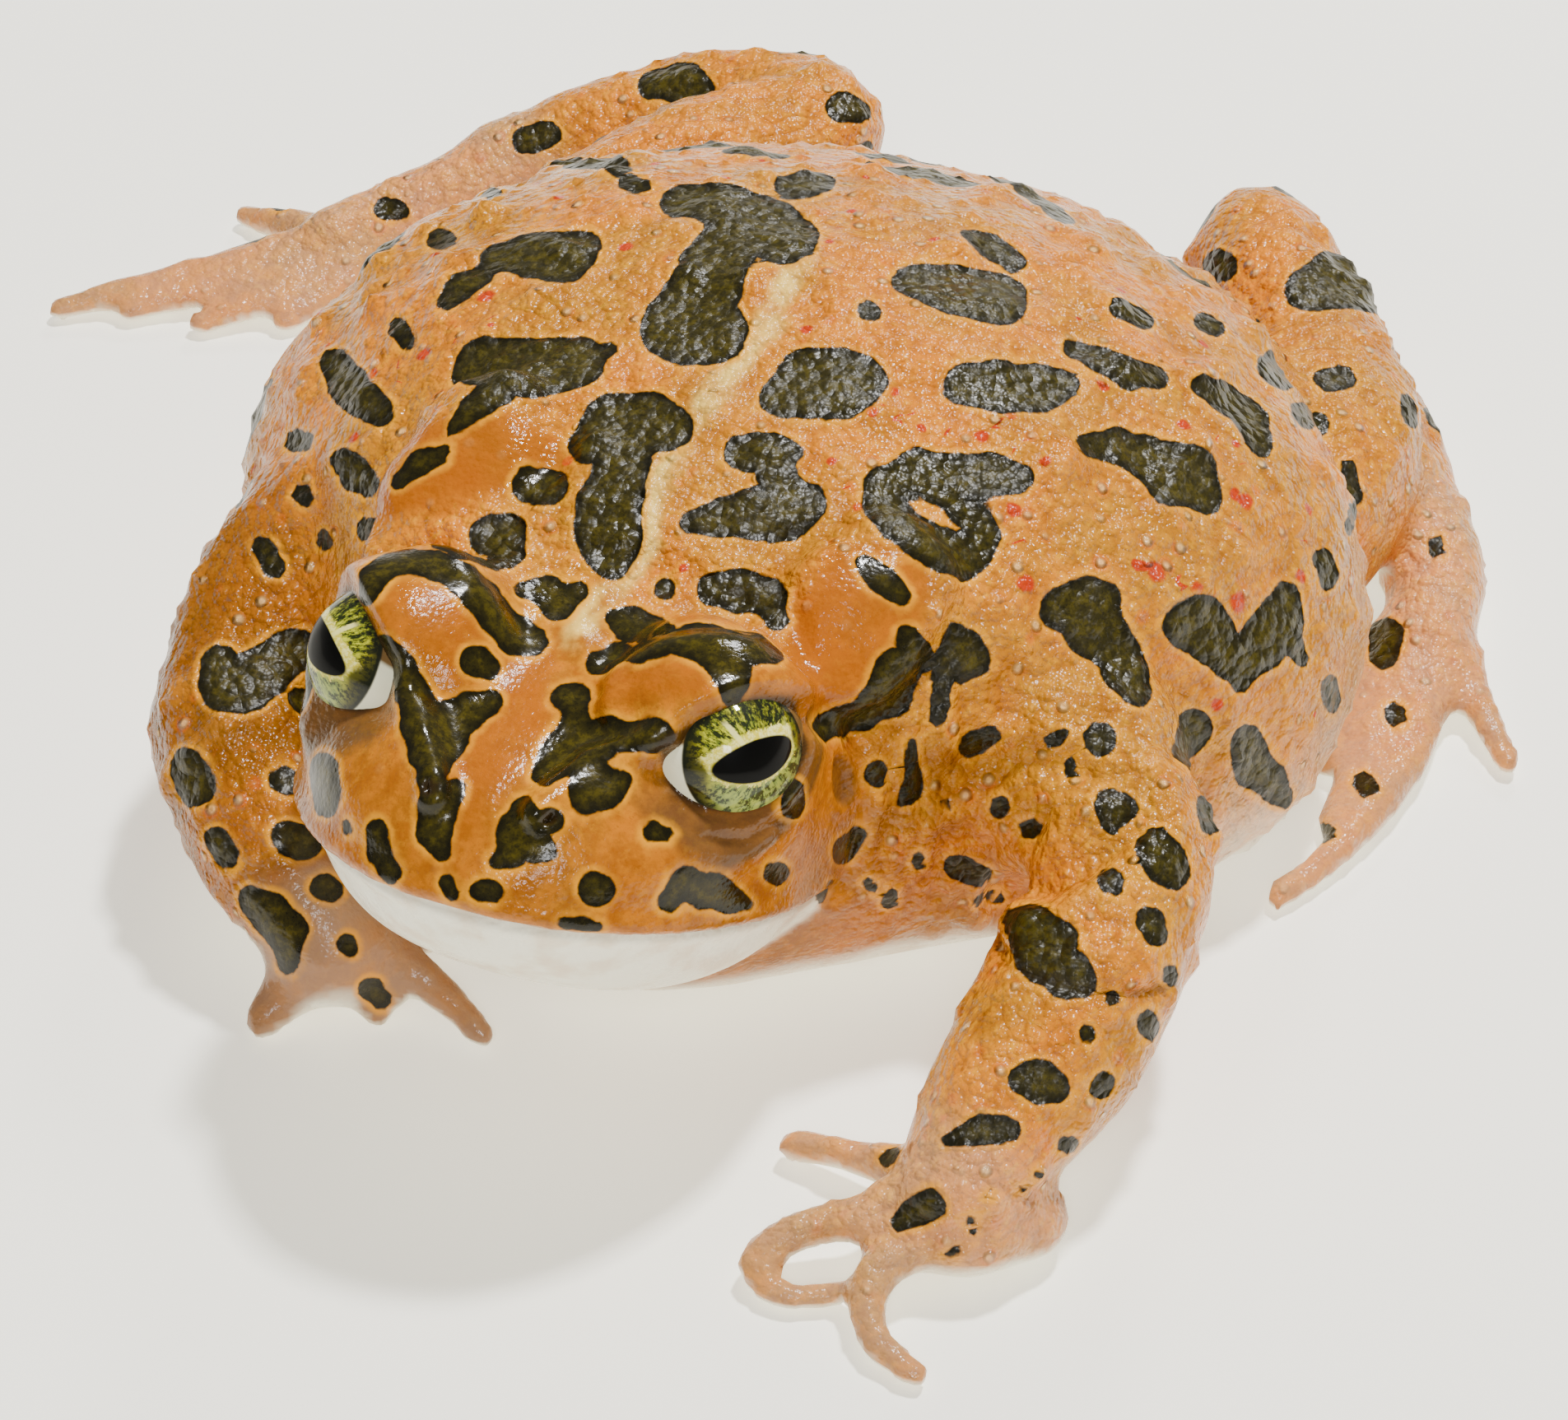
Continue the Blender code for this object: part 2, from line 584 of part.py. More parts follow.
LEGS = {
    "left": {
        "thigh": [(7.0, 25.0, 11.0, 4.8), (12.4, 20.6, 10.2, 6.2), (17.2, 16.0, 9.2, 5.6),
                  (20.6, 13.2, 8.6, 4.2)],
        "shank": [(22.2, 13.4, 7.2, 4.2), (22.4, 19.4, 7.4, 4.9), (19.2, 27.8, 7.8, 4.7),
                  (13.6, 36.6, 8.4, 3.7)],
        "foot": [(14.6, 37.4, 6.8, 3.6), (20.0, 31.4, 5.2, 3.0), (25.4, 25.2, 3.8, 2.6),
                 (28.6, 19.6, 2.6, 2.7), (29.9, 14.4, 2.0, 2.4)],
        "ankle": ((25.9, 24.4, 3.6), (0.5, -0.85, -0.15)),
        "toes": [
            [(28.4, 17.0, 2.0, 1.3), (26.6, 13.6, 1.3, 1.0), (25.6, 10.8, 0.8, 0.8)],
            [(29.0, 15.0, 1.9, 1.3), (27.4, 9.6, 1.3, 1.0), (26.8, 5.0, 0.8, 0.8)],
            [(29.6, 14.0, 1.9, 1.4), (29.0, 7.0, 1.4, 1.1), (28.6, 0.4, 0.9, 0.8)],
            [(30.2, 14.0, 2.0, 1.5), (31.0, 6.4, 1.5, 1.2), (29.6, -1.0, 1.1, 1.0),
             (27.6, -5.6, 0.8, 0.8)],
            [(30.6, 16.0, 1.9, 1.4), (33.0, 12.0, 1.4, 1.1), (35.6, 8.4, 0.8, 0.8)],
        ],
    },
    "right": {
        "thigh": [(-7.0, 26.0, 11.0, 4.8), (-12.4, 21.6, 10.2, 6.2), (-17.2, 17.0, 9.2, 5.6),
                  (-20.6, 14.2, 8.6, 4.2)],
        "shank": [(-22.2, 14.4, 7.2, 4.2), (-22.2, 21.4, 7.6, 4.9), (-18.6, 30.0, 8.4, 4.8),
                  (-12.8, 38.8, 9.2, 4.0)],
        "foot": [(-14.2, 40.2, 8.0, 4.4), (-21.0, 40.2, 7.0, 4.0), (-28.2, 37.0, 4.9, 3.2),
                 (-34.0, 32.2, 3.0, 2.8), (-38.0, 28.6, 2.2, 2.4)],
        "ankle": ((-28.2, 37.0, 4.8), (-0.8, -0.55, -0.25)),
        "toes": [
            [(-36.0, 28.4, 2.0, 1.3), (-36.6, 25.0, 1.4, 1.0), (-38.4, 22.2, 0.8, 0.8)],
            [(-37.2, 27.8, 1.9, 1.3), (-39.6, 23.6, 1.4, 1.0), (-42.8, 20.2, 0.8, 0.8)],
            [(-38.0, 28.2, 1.9, 1.4), (-42.4, 23.8, 1.4, 1.1), (-47.0, 20.0, 0.9, 0.8)],
            [(-38.4, 28.6, 2.0, 1.5), (-43.6, 24.8, 1.5, 1.2), (-48.0, 21.2, 1.1, 1.0),
             (-50.9, 18.8, 0.8, 0.8)],
            [(-37.2, 29.6, 2.0, 1.4), (-41.4, 30.2, 1.4, 1.1), (-45.2, 31.2, 0.8, 0.8)],
        ],
    },
}


def digits_of(rows):
    pieces = []
    for row in rows:
        pieces.extend(limb(row))
        tip = row[-1]
        pieces.append(ball(tip[:3], tip[3] * 1.15, rings=2))
    return pieces


def make_arm(size):
    """Upper arm, forearm and hand: one soft limb parted at the elbow and the wrist."""
    pieces = limb(size["arm"])
    pieces.extend(ball(centre, half) for centre, half in size["palm"])
    pieces.extend(digits_of(size["fingers"]))
    whole = fuse("arm", pieces, 0.36, 3, FACETS["arm"])
    whole = keep_largest(sliced(whole, (0, 0, FLOOR), (0, 0, -1)))
    upper, rest = parted(whole, *size["elbow"])
    forearm, hand = parted(rest, *size["wrist"])
    return upper, forearm, hand


def make_leg(size):
    """Thigh, shank, tarsus and foot of a leg folded up beside the body, and their whole forms."""
    pieces = limb(size["foot"])
    pieces.extend(digits_of(size["toes"]))
    foot_form = fuse("foot", pieces, 0.38, 3, FACETS["foot"])
    foot_form = keep_largest(sliced(foot_form, (0, 0, FLOOR), (0, 0, -1)))
    shank_form = fuse("shank", limb(size["shank"]), 0.6, 4, FACETS["shank"])
    thigh_form = fuse("thigh", limb(size["thigh"]), 0.7, 4, FACETS["thigh"])
    shank = clear_of(copy_of(shank_form), foot_form)
    thigh = clear_of(copy_of(thigh_form), shank_form, foot_form)
    tarsus, foot = parted(copy_of(foot_form), *size["ankle"])
    return (thigh, shank, tarsus, foot), (thigh_form, shank_form, foot_form)


def make_parotoid(body, places):
    """The long smooth gland behind an eye: flat pads laid on the body's skin."""
    pieces = []
    for x, y, along, across, thick in places:
        place, normal = on_surface(body, (0, 0, 1), (x, y, 8.0))
        turn = normal.to_track_quat("Z", "Y").to_matrix()
        pieces.append(ball(place, (along, across, thick), turn))
    return fuse("parotoid", pieces, 0.4, 5, FACETS["parotoid"])


def build():
    body = make_torso()
    torso = boolean(copy_of(body), back_warts(body), "UNION")
    torso = keep_largest(sliced(torso, (0, 0, FLOOR), (0, 0, -1)))
    skull = make_head()
    head, jaw, eyes, drums = make_head_parts(copy_of(skull))
    skull.data.transform(head_turn())
    nape = Vector((0, math.cos(NECK_TILT), -math.sin(NECK_TILT)))
    head = keep_largest(sliced(head, NECK, nape))
    head_form = keep_largest(sliced(copy_of(skull), NECK, nape))
    torso = clear_of(torso, head_form)
    remove(head_form)

    legs = {}
    for name, size in LEGS.items():
        legs[name], forms = make_leg(size)
        torso = clear_of(torso, *forms)
        remove(*forms)

    for name in ("left", "right"):
        gland = clear_of(make_parotoid(body, PAROTOIDS[name]), body, skull)
        finish(gland, "parotoid_" + name, GLAND)
        upper, forearm, hand = make_arm(ARMS[name])
        upper = clear_of(upper, body, skull)
        forearm = clear_of(forearm, body)
        finish(upper, "upper_arm_" + name, SKIN)
        finish(forearm, "forearm_" + name, SKIN)
        finish(hand, "hand_" + name, SKIN)
        for piece, part in zip(legs[name], ("thigh_", "shank_", "tarsus_", "foot_")):
            finish(piece, part + name, SKIN)
        finish(eyes[name], "eye_" + name, EYE)
        finish(drums[name], "eardrum_" + name, EARDRUM_SKIN)
    finish(torso, "torso", SKIN)
    finish(head, "head", SKIN)
    finish(jaw, "lower_jaw", THROAT)
    remove(body, skull)


build()
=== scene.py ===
"""European green toad, life size, in the pose of the photograph.

One skin goes over all the flesh of the frame, with two detailed eyes in it. The toad looks along
-Y, its left is +X, and it rests on the floor at z = 0. Shapes are worked out in millimetres and
become metres when a mesh is written.
"""

import logging
import math
from dataclasses import dataclass
from enum import Enum
from typing import Any, Iterable, Optional, Sequence

import bmesh
import bpy
import numpy as np
from mathutils import Matrix, Vector, noise
from mathutils.bvhtree import BVHTree
from mathutils.kdtree import KDTree


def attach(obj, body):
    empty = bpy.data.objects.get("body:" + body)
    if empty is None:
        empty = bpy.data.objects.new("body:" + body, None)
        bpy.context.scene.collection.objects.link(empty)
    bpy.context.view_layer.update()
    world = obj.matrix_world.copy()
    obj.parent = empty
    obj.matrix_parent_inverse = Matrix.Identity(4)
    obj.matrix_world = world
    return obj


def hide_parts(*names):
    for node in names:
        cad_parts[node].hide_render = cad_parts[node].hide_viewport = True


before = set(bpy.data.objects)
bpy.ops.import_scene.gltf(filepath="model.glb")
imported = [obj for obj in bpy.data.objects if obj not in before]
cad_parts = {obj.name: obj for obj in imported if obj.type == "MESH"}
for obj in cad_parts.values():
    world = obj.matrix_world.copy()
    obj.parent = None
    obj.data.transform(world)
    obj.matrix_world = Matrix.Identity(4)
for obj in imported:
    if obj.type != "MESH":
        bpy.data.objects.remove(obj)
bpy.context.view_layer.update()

LOG = logging.getLogger("green_toad")
MM = 0.001
FAR = 1e3                      # stands for the distance to nothing, in millimetres
TINY = 1e-6                    # keeps a divisor off 0
Point = tuple[float, float, float]
Chain = Sequence[Point]
Colour = tuple[float, float, float, float]


class Mask(Enum):
    """The painted regions of the skin, each a number on every point of it."""

    BLOTCH = "blotch"      # signed distance to the dark blotches, in millimetres
    LINE = "line"          # the pale line along the back
    RED = "red"            # way from the nearest red wart, in its radii
    GLAND = "gland"        # the reddish smooth skin of lids, snout and glands
    PALE = "pale"          # jaw, throat and belly
    GRAIN = "grain"        # how granular the skin is
    DARK = "dark"          # painted shade along the lid edges, in the nostril pits and along the line of the mouth
    GREY = "grey"          # the soft band below an eye and the eardrum
    WART = "wart"          # height of the warts
    BROWN = "brown"        # painted shade on the right arm, which lies in the head's shadow, with its own browner tone; darker brown too on the lower chest and low on the cheeks


# How the names of the head's solids start
HEAD_SOLIDS = ("head", "lower_jaw", "eardrum")


def smooth_step(low: float, high: float, value: np.ndarray) -> np.ndarray:
    """A soft ramp from 0 at low to 1 at high; low may be the larger."""
    t = np.clip((value - low) / (high - low), 0.0, 1.0)
    return t * t * (3.0 - 2.0 * t)


def unit(vector: np.ndarray) -> np.ndarray:
    """The vector at length 1."""
    return vector / np.linalg.norm(vector)


def placed(name: str, data: bpy.types.ID) -> bpy.types.Object:
    """Adds an object to the scene.

    Args:
        name: its name.
        data: its mesh, camera or lamp.

    Returns:
        The object.
    """
    made = bpy.data.objects.new(name, data)
    bpy.context.scene.collection.objects.link(made)
    return made


def store(mesh: bpy.types.Mesh, values: dict[str, np.ndarray]) -> None:
    """Puts numbers on every point of a mesh.

    Args:
        mesh: the mesh.
        values: for each name, one number a point.
    """
    for name, numbers in values.items():
        layer = mesh.attributes.new(name, "FLOAT", "POINT")
        layer.data.foreach_set("value", numbers.astype(np.float32))


def finished(mesh: bpy.types.Mesh, material: bpy.types.Material) -> None:
    """Gives a mesh its only material and smooth shading.

    Args:
        mesh: the mesh.
        material: its finish.
    """
    mesh.materials.clear()
    mesh.materials.append(material)
    for face in mesh.polygons:
        face.use_smooth = True


@dataclass(frozen=True)
class PhotoView:
    """The photograph's camera. Lengths in millimetres, pixels of the 1905 x 1725 frame."""

    width: float = 1905.0
    height: float = 1725.0
    focal: float = 5868.0
    distance: float = 230.0
    azimuth: float = math.radians(20.8)
    elevation: float = math.radians(38.8)
    target: Point = (4.3, -11.2, 10.0)
    sensor: float = 36.0

    def axes(self) -> tuple[np.ndarray, np.ndarray, np.ndarray]:
        """The camera's own directions.

        Returns:
            Right, up and backward, each of length 1.
        """
        flat = math.cos(self.elevation)
        right = np.array([math.cos(self.azimuth), math.sin(self.azimuth), 0.0])
        back = np.array([math.sin(self.azimuth) * flat, -math.cos(self.azimuth) * flat,
                         math.sin(self.elevation)])
        return right, np.cross(back, right), back

    def place_of_eye(self) -> np.ndarray:
        """Where the camera stands."""
        return np.array(self.target) + self.axes()[2] * self.distance

    def ray(self, x: float, y: float) -> np.ndarray:
        """The direction of sight through a pixel.

        Args:
            x: pixels from the left.
            y: pixels from the top.

        Returns:
            The direction, of length 1.
        """
        right, up, back = self.axes()
        across = (x - self.width / 2) / self.focal
        down = (y - self.height / 2) / self.focal
        return unit(right * across - up * down - back)

    def scale(self, point: np.ndarray) -> float:
        """Pixels for a millimetre at a point."""
        return self.focal / float(np.dot(self.place_of_eye() - point, self.axes()[2]))

    def flattened(self, points: np.ndarray, depth_share: float) -> np.ndarray:
        """Points in the camera's axes, with depth shortened.

        Args:
            points: rows of x, y, z.
            depth_share: how much a millimetre of depth counts.

        Returns:
            Rows of right, up and shortened depth.
        """
        right, up, back = self.axes()
        return np.stack([points @ right, points @ up, (points @ back) * depth_share], axis=-1)

    def build(self) -> None:
        """Makes the camera and gives it to the scene."""
        right, up, back = self.axes()
        data = bpy.data.cameras.new("photo_camera")
        data.sensor_width = self.sensor
        data.sensor_fit = "HORIZONTAL"
        data.lens = self.focal / self.width * self.sensor
        data.clip_start = 0.01
        data.clip_end = 20.0
        camera = placed("photo_camera", data)
        turn = Matrix((right, up, back)).transposed().to_4x4()
        camera.matrix_world = Matrix.Translation(Vector(self.place_of_eye()) * MM) @ turn
        bpy.context.scene.camera = camera


VIEW = PhotoView()


@dataclass(frozen=True)
class HeadFrame:
    """Where the head is and how it is turned, in millimetres."""

    centre: Point = (-0.75, -26.3, 19.4)
    yaw: float = math.radians(1.2)
    roll: float = math.radians(2.5)
    eye_radius: float = 4.0
    eye_spread: float = 7.45
    eye_height: float = 20.3
    eye_outward: float = math.radians(52)
    eye_upward: float = math.radians(14)
    mouth_corner: Point = (11.8, -23.6, 10.9)
    mouth_tip: Point = (0.0, -37.2, 16.9)

    def rotation(self) -> np.ndarray:
        """The head's turn as a 3 x 3 matrix."""
        turn = Matrix.Rotation(self.yaw, 3, "Z") @ Matrix.Rotation(self.roll, 3, "Y")
        return np.array(turn)

    def turned(self, point: Iterable[float]) -> np.ndarray:
        """Turns a place along with the head.

        Args:
            point: the place in the straight head.

        Returns:
            The place on the toad.
        """
        centre = np.array(self.centre)
        pivot = np.array([0.0, centre[1], centre[2]])
        return centre + self.rotation() @ (np.array(point) - pivot)

    def straight(self, points: np.ndarray) -> np.ndarray:
        """Turns places back into the straight head.

        Args:
            points: rows of x, y, z on the toad.

        Returns:
            The same rows in the straight head's axes.
        """
        centre = np.array(self.centre)
        pivot = np.array([0.0, centre[1], centre[2]])
        return (points - centre) @ self.rotation() + pivot

    def above_mouth(self, points: np.ndarray) -> np.ndarray:
        """Height over the plane of the mouth.

        Args:
            points: rows of x, y, z on the toad.

        Returns:
            One signed height a point, in millimetres.
        """
        corner = np.array(self.mouth_corner)
        along = corner - np.array(self.mouth_tip)
        along[0] = 0.0
        along = unit(along)
        normal = np.array([0.0, -along[2], along[1]])
        return (self.straight(points) - corner) @ (normal * math.copysign(1.0, normal[2]))


HEAD = HeadFrame()


@dataclass(frozen=True)
class EyeFrame:
    """One eye's centre and axes: out along its sight, forward to the snout, and up."""

    side: int
    open_centre: tuple[float, float] = (0.4, 1.05)
    open_half: tuple[float, float] = (3.95, 2.4)

    def centre(self) -> np.ndarray:
        """The eyeball's centre."""
        return HEAD.turned((HEAD.eye_spread * self.side, HEAD.centre[1], HEAD.eye_height))

    def axes(self) -> tuple[np.ndarray, np.ndarray, np.ndarray]:
        """The eye's own directions.

        Returns:
            Out along its sight, forward and up, each of length 1.
        """
        flat = math.cos(HEAD.eye_upward)
        out = HEAD.rotation() @ np.array([
            self.side * flat * math.sin(HEAD.eye_outward),
            -flat * math.cos(HEAD.eye_outward), math.sin(HEAD.eye_upward)])
        up = np.array([0.0, 0.0, 1.0])
        up = unit(up - out * out[2])
        forward = np.cross(up, out)
        return out, forward * math.copysign(1.0, -forward[1]), up

    def arcs(self, points: np.ndarray) -> tuple[np.ndarray, np.ndarray, np.ndarray]:
        """Places of points as arcs along the eyeball.

        Args:
            points: rows of x, y, z.

        Returns:
            Distance from the eye's centre, arc forward and arc up, in millimetres.
        """
        out, forward, up = self.axes()
        offset = points - self.centre()
        reach = np.maximum(np.linalg.norm(offset, axis=1), TINY)
        across, rise = offset @ forward, offset @ up
        angle = np.arccos(np.clip(offset @ out / reach, -1.0, 1.0))
        spread = np.maximum(np.hypot(across, rise), TINY)
        arc = HEAD.eye_radius * angle / spread
        return reach, across * arc, rise * arc

    def from_opening(self, forward: np.ndarray, rise: np.ndarray) -> np.ndarray:
        """Distance to the edge of the lids.

        Args:
            forward: arcs forward, in millimetres.
            rise: arcs up, in millimetres.

        Returns:
            One signed distance a point, negative where the eye shows.
        """
        x = (forward - self.open_centre[0]) / self.open_half[0]
        y = (rise - self.open_centre[1]) / self.open_half[1]
        round_one = np.maximum(np.hypot(x, y), TINY)
        slope = np.hypot(x / self.open_half[0], y / self.open_half[1]) / round_one
        return (round_one - 1.0) / np.maximum(slope, TINY)


EYES = {"left": EyeFrame(1), "right": EyeFrame(-1)}

# Dark blotches as chains of circles, in pixels of the photograph: x, y, radius
HEAD_BLOTCHES: tuple[Chain, ...] = (
    ((446, 722, 13), (452, 704, 16), (470, 688, 17), (493, 681, 18), (528, 686, 18), (563, 702, 18),
     (588, 724, 19), (606, 750, 20), (629, 772, 22), (645, 780, 19)),
    ((580, 803, 19), (594, 811, 13)),
    ((468, 787, 16), (486, 808, 17), (500, 843, 18), (514, 878, 27), (521, 910, 24), (528, 932, 17),
     (524, 950, 15), (530, 983, 22), (528, 1008, 20), (535, 1032, 12)),
    ((521, 890, 24), (546, 878, 24), (572, 864, 20), (596, 855, 15)),
    ((524, 905, 24), (542, 900, 24), (536, 925, 14)),
    ((552, 958, 13), (540, 990, 14)),
    ((636, 717, 9), (665, 717, 18), (679, 734, 18), (703, 718, 12)),
    ((807, 714, 11), (807, 716, 11)),
    ((749, 752, 13), (766, 757, 20), (791, 764, 18), (808, 766, 11)),
    ((728, 804, 15), (749, 797, 14), (773, 792, 13), (798, 783, 13), (820, 776, 15)),
    ((822, 777, 16), (845, 776, 21), (868, 784, 26), (885, 805, 25), (890, 830, 16), (888, 845, 11)),
    ((872, 780, 22), (910, 784, 22), (936, 794, 13)),
    ((686, 846, 15), (701, 846, 14), (699, 868, 12), (700, 889, 20), (685, 915, 27), (665, 938, 18)),
    ((701, 889, 18), (722, 905, 26), (722, 931, 24), (712, 965, 20), (736, 959, 18), (756, 948, 11)),
    ((715, 892, 16), (738, 892, 18), (763, 896, 17), (791, 893, 20), (805, 891, 15)),
    ((636, 985, 17), (630, 1013, 24), (622, 1037, 18), (604, 1046, 8)),
    ((630, 1020, 20), (650, 1028, 20), (664, 1035, 10)),
    ((640, 1000, 15), (668, 996, 15)),
    ((722, 1080, 19), (727, 1081, 20)),
    ((833, 1071, 20), (813, 1094, 13)),
    ((833, 1075, 20), (861, 1082, 20), (888, 1094, 15), (905, 1098, 9)),
    ((582, 1083, 13), (598, 1084, 13)),
    ((421, 1000, 6), (422, 1007, 6)),
    ((542, 1072, 9), (549, 1085, 9)),
    ((457, 1010, 14), (461, 1036, 13), (474, 1060, 13)),
    ((391, 938, 24), (396, 968, 23)),
    ((686, 1121, 8), (707, 1123, 7), (726, 1125, 4)),
    ((794, 1010, 13), (810, 1013, 9)),
    ((962, 977, 16), (965, 960, 11)),
    ((944, 1060, 15), (946, 1062, 15)),
    ((1040, 1015, 12), (1026, 1031, 18)),
    ((1064, 938, 14), (1066, 944, 14)),
    ((977, 1099, 6), (994, 1088, 8), (1009, 1076, 6)),
    ((550, 1112, 5), (557, 1114, 6)),
)
NECK_BLOTCHES: tuple[Chain, ...] = (
    ((1050, 687, 11), (1071, 705, 15), (1094, 724, 13)),
    ((1102, 772, 14), (1117, 798, 18), (1090, 816, 27), (1080, 843, 29), (1050, 866, 20),
     (1018, 876, 16), (998, 884, 16)),
    ((1157, 764, 10), (1155, 791, 12), (1147, 819, 11), (1141, 851, 9), (1139, 874, 9)),
    ((1160, 768, 9), (1174, 784, 17), (1182, 802, 20), (1168, 816, 15)),
    ((1180, 904, 16), (1203, 894, 14)),
    ((1278, 900, 10), (1290, 893, 8)),
    ((1336, 901, 18), (1338, 893, 17)),
    ((1448, 888, 26), (1438, 915, 20)),
    ((1350, 978, 19), (1364, 981, 18), (1352, 1000, 12)),
    ((1404, 1030, 23), (1418, 1048, 26), (1426, 1061, 20)),
    ((1350, 1070, 15), (1352, 1072, 15)),
    ((1150, 976, 7), (1152, 978, 7)),
    ((1212, 981, 11), (1216, 978, 9)),
    ((1252, 1007, 12), (1256, 1004, 11)),
    ((1164, 1053, 15), (1190, 1063, 15)),
    ((1109, 905, 7), (1109, 935, 8), (1108, 960, 12), (1099, 974, 9)),
    ((1116, 1043, 7), (1118, 1050, 7)),
    ((1057, 1074, 8), (1060, 1080, 7)),
    ((1081, 1095, 9), (1081, 1085, 7)),
    ((1188, 1095, 6), (1212, 1088, 8)),
    ((1298, 925, 9), (1303, 938, 9)),
    ((1515, 900, 22), (1522, 930, 25), (1545, 950, 20), (1562, 970, 12)),
    ((1465, 980, 14), (1470, 1000, 14)),
    ((1608, 680, 14), (1614, 702, 14)),
    ((1615, 832, 13), (1620, 852, 13)),
    ((1468, 990, 14), (1470, 994, 13)),
)
BACK_BLOTCHES: tuple[Chain, ...] = (
    ((598, 650, 27), (610, 652, 27), (616, 672, 20)),
    ((530, 662, 6), (560, 671, 9), (600, 684, 11)),
    ((1172, 468, 27), (1214, 470, 32), (1262, 472, 32), (1290, 468, 21)),
    ((1073, 588, 22), (1118, 571, 26), (1161, 578, 26), (1207, 577, 26), (1236, 580, 18)),
    ((1073, 590, 22), (1075, 612, 24), (1088, 630, 24), (1118, 650, 28), (1150, 668, 28),
     (1168, 690, 17)),
    ((1130, 592, 16), (1160, 610, 15), (1186, 632, 17), (1196, 652, 19), (1186, 675, 19),
     (1170, 690, 15)),
    ((1323, 541, 15), (1357, 541, 20), (1390, 556, 26), (1420, 568, 32), (1447, 576, 34),
     (1462, 602, 23)),
    ((1386, 562, 20), (1420, 590, 24), (1455, 600, 22)),
    ((1305, 425, 14), (1336, 437, 16), (1371, 451, 19), (1404, 459, 16)),
    ((1461, 469, 14), (1489, 484, 20), (1518, 506, 23), (1529, 536, 19)),
    ((1180, 285, 12), (1205, 300, 18), (1232, 318, 15)),
    ((1362, 372, 14), (1388, 388, 15)),
    ((1465, 392, 14), (1476, 398, 13)),
    ((1543, 449, 20), (1556, 458, 16)),
    ((1289, 741, 27), (1321, 730, 27), (1343, 728, 20)),
    ((1300, 745, 28), (1330, 764, 35), (1354, 787, 28), (1368, 816, 27), (1380, 838, 22)),
    ((1441, 760, 30), (1461, 757, 32), (1474, 775, 32), (1490, 800, 22)),
    ((1490, 800, 22), (1511, 808, 22), (1507, 829, 13)),
    ((1511, 803, 26), (1535, 782, 30), (1557, 752, 30), (1562, 728, 20)),
    ((1560, 770, 20), (1583, 800, 10)),
    ((830, 244, 27), (878, 248, 32), (930, 272, 42), (952, 288, 42)),
    ((905, 275, 38), (872, 315, 40), (857, 350, 46)),
    ((857, 350, 46), (830, 398, 48), (862, 402, 46)),
    ((952, 482, 28), (985, 466, 45), (1022, 464, 45), (1044, 462, 33)),
    ((714, 538, 26), (745, 514, 36), (788, 512, 37), (812, 520, 30)),
    ((760, 535, 34), (754, 575, 31), (740, 612, 37), (738, 640, 40), (742, 666, 33), (746, 684, 18)),
    ((903, 550, 24), (935, 548, 24), (955, 552, 20)),
    ((940, 560, 23), (950, 592, 22), (972, 608, 26)),
    ((838, 636, 13), (870, 630, 22), (915, 624, 31), (955, 622, 33), (976, 612, 28)),
    ((1110, 342, 26), (1160, 352, 36), (1210, 360, 40)),
    ((1054, 377, 13), (1057, 379, 13)),
    ((588, 446, 40), (640, 448, 42), (698, 440, 37)),
    ((600, 478, 22), (575, 495, 16), (552, 518, 8)),
    ((605, 312, 22), (645, 308, 32), (684, 310, 38), (712, 296, 18)),
    ((585, 335, 15), (562, 345, 18), (546, 364, 14)),
    ((645, 588, 23), (668, 592, 23)),
    ((405, 440, 18), (420, 465, 22), (440, 485, 22), (462, 502, 18)),
    ((480, 395, 11), (496, 415, 11)),
    ((358, 535, 14), (371, 538, 12)),
    ((415, 560, 15), (432, 576, 19), (448, 590, 14)),
    ((484, 584, 9), (512, 562, 13), (535, 552, 13)),
    ((445, 643, 13), (452, 640, 11)),
    ((866, 716, 19), (900, 718, 25), (932, 724, 20), (945, 752, 13)),
    ((730, 430, 10), (742, 424, 8)),
    ((640, 170, 18), (664, 163, 18)),
    ((702, 197, 20), (732, 196, 20), (752, 204, 14)),
    ((764, 222, 15), (776, 226, 13)),
    ((594, 234, 11), (600, 237, 10)),
    ((470, 252, 15), (484, 257, 12)),
    ((532, 290, 15), (544, 295, 12)),
    ((796, 100, 22), (828, 98, 27), (848, 112, 22)),
    ((965, 226, 22), (994, 222, 20)),
    ((1024, 130, 20), (1042, 134, 16)),
    ((1190, 206, 22), (1225, 222, 26), (1262, 242, 22), (1290, 264, 16)),
)
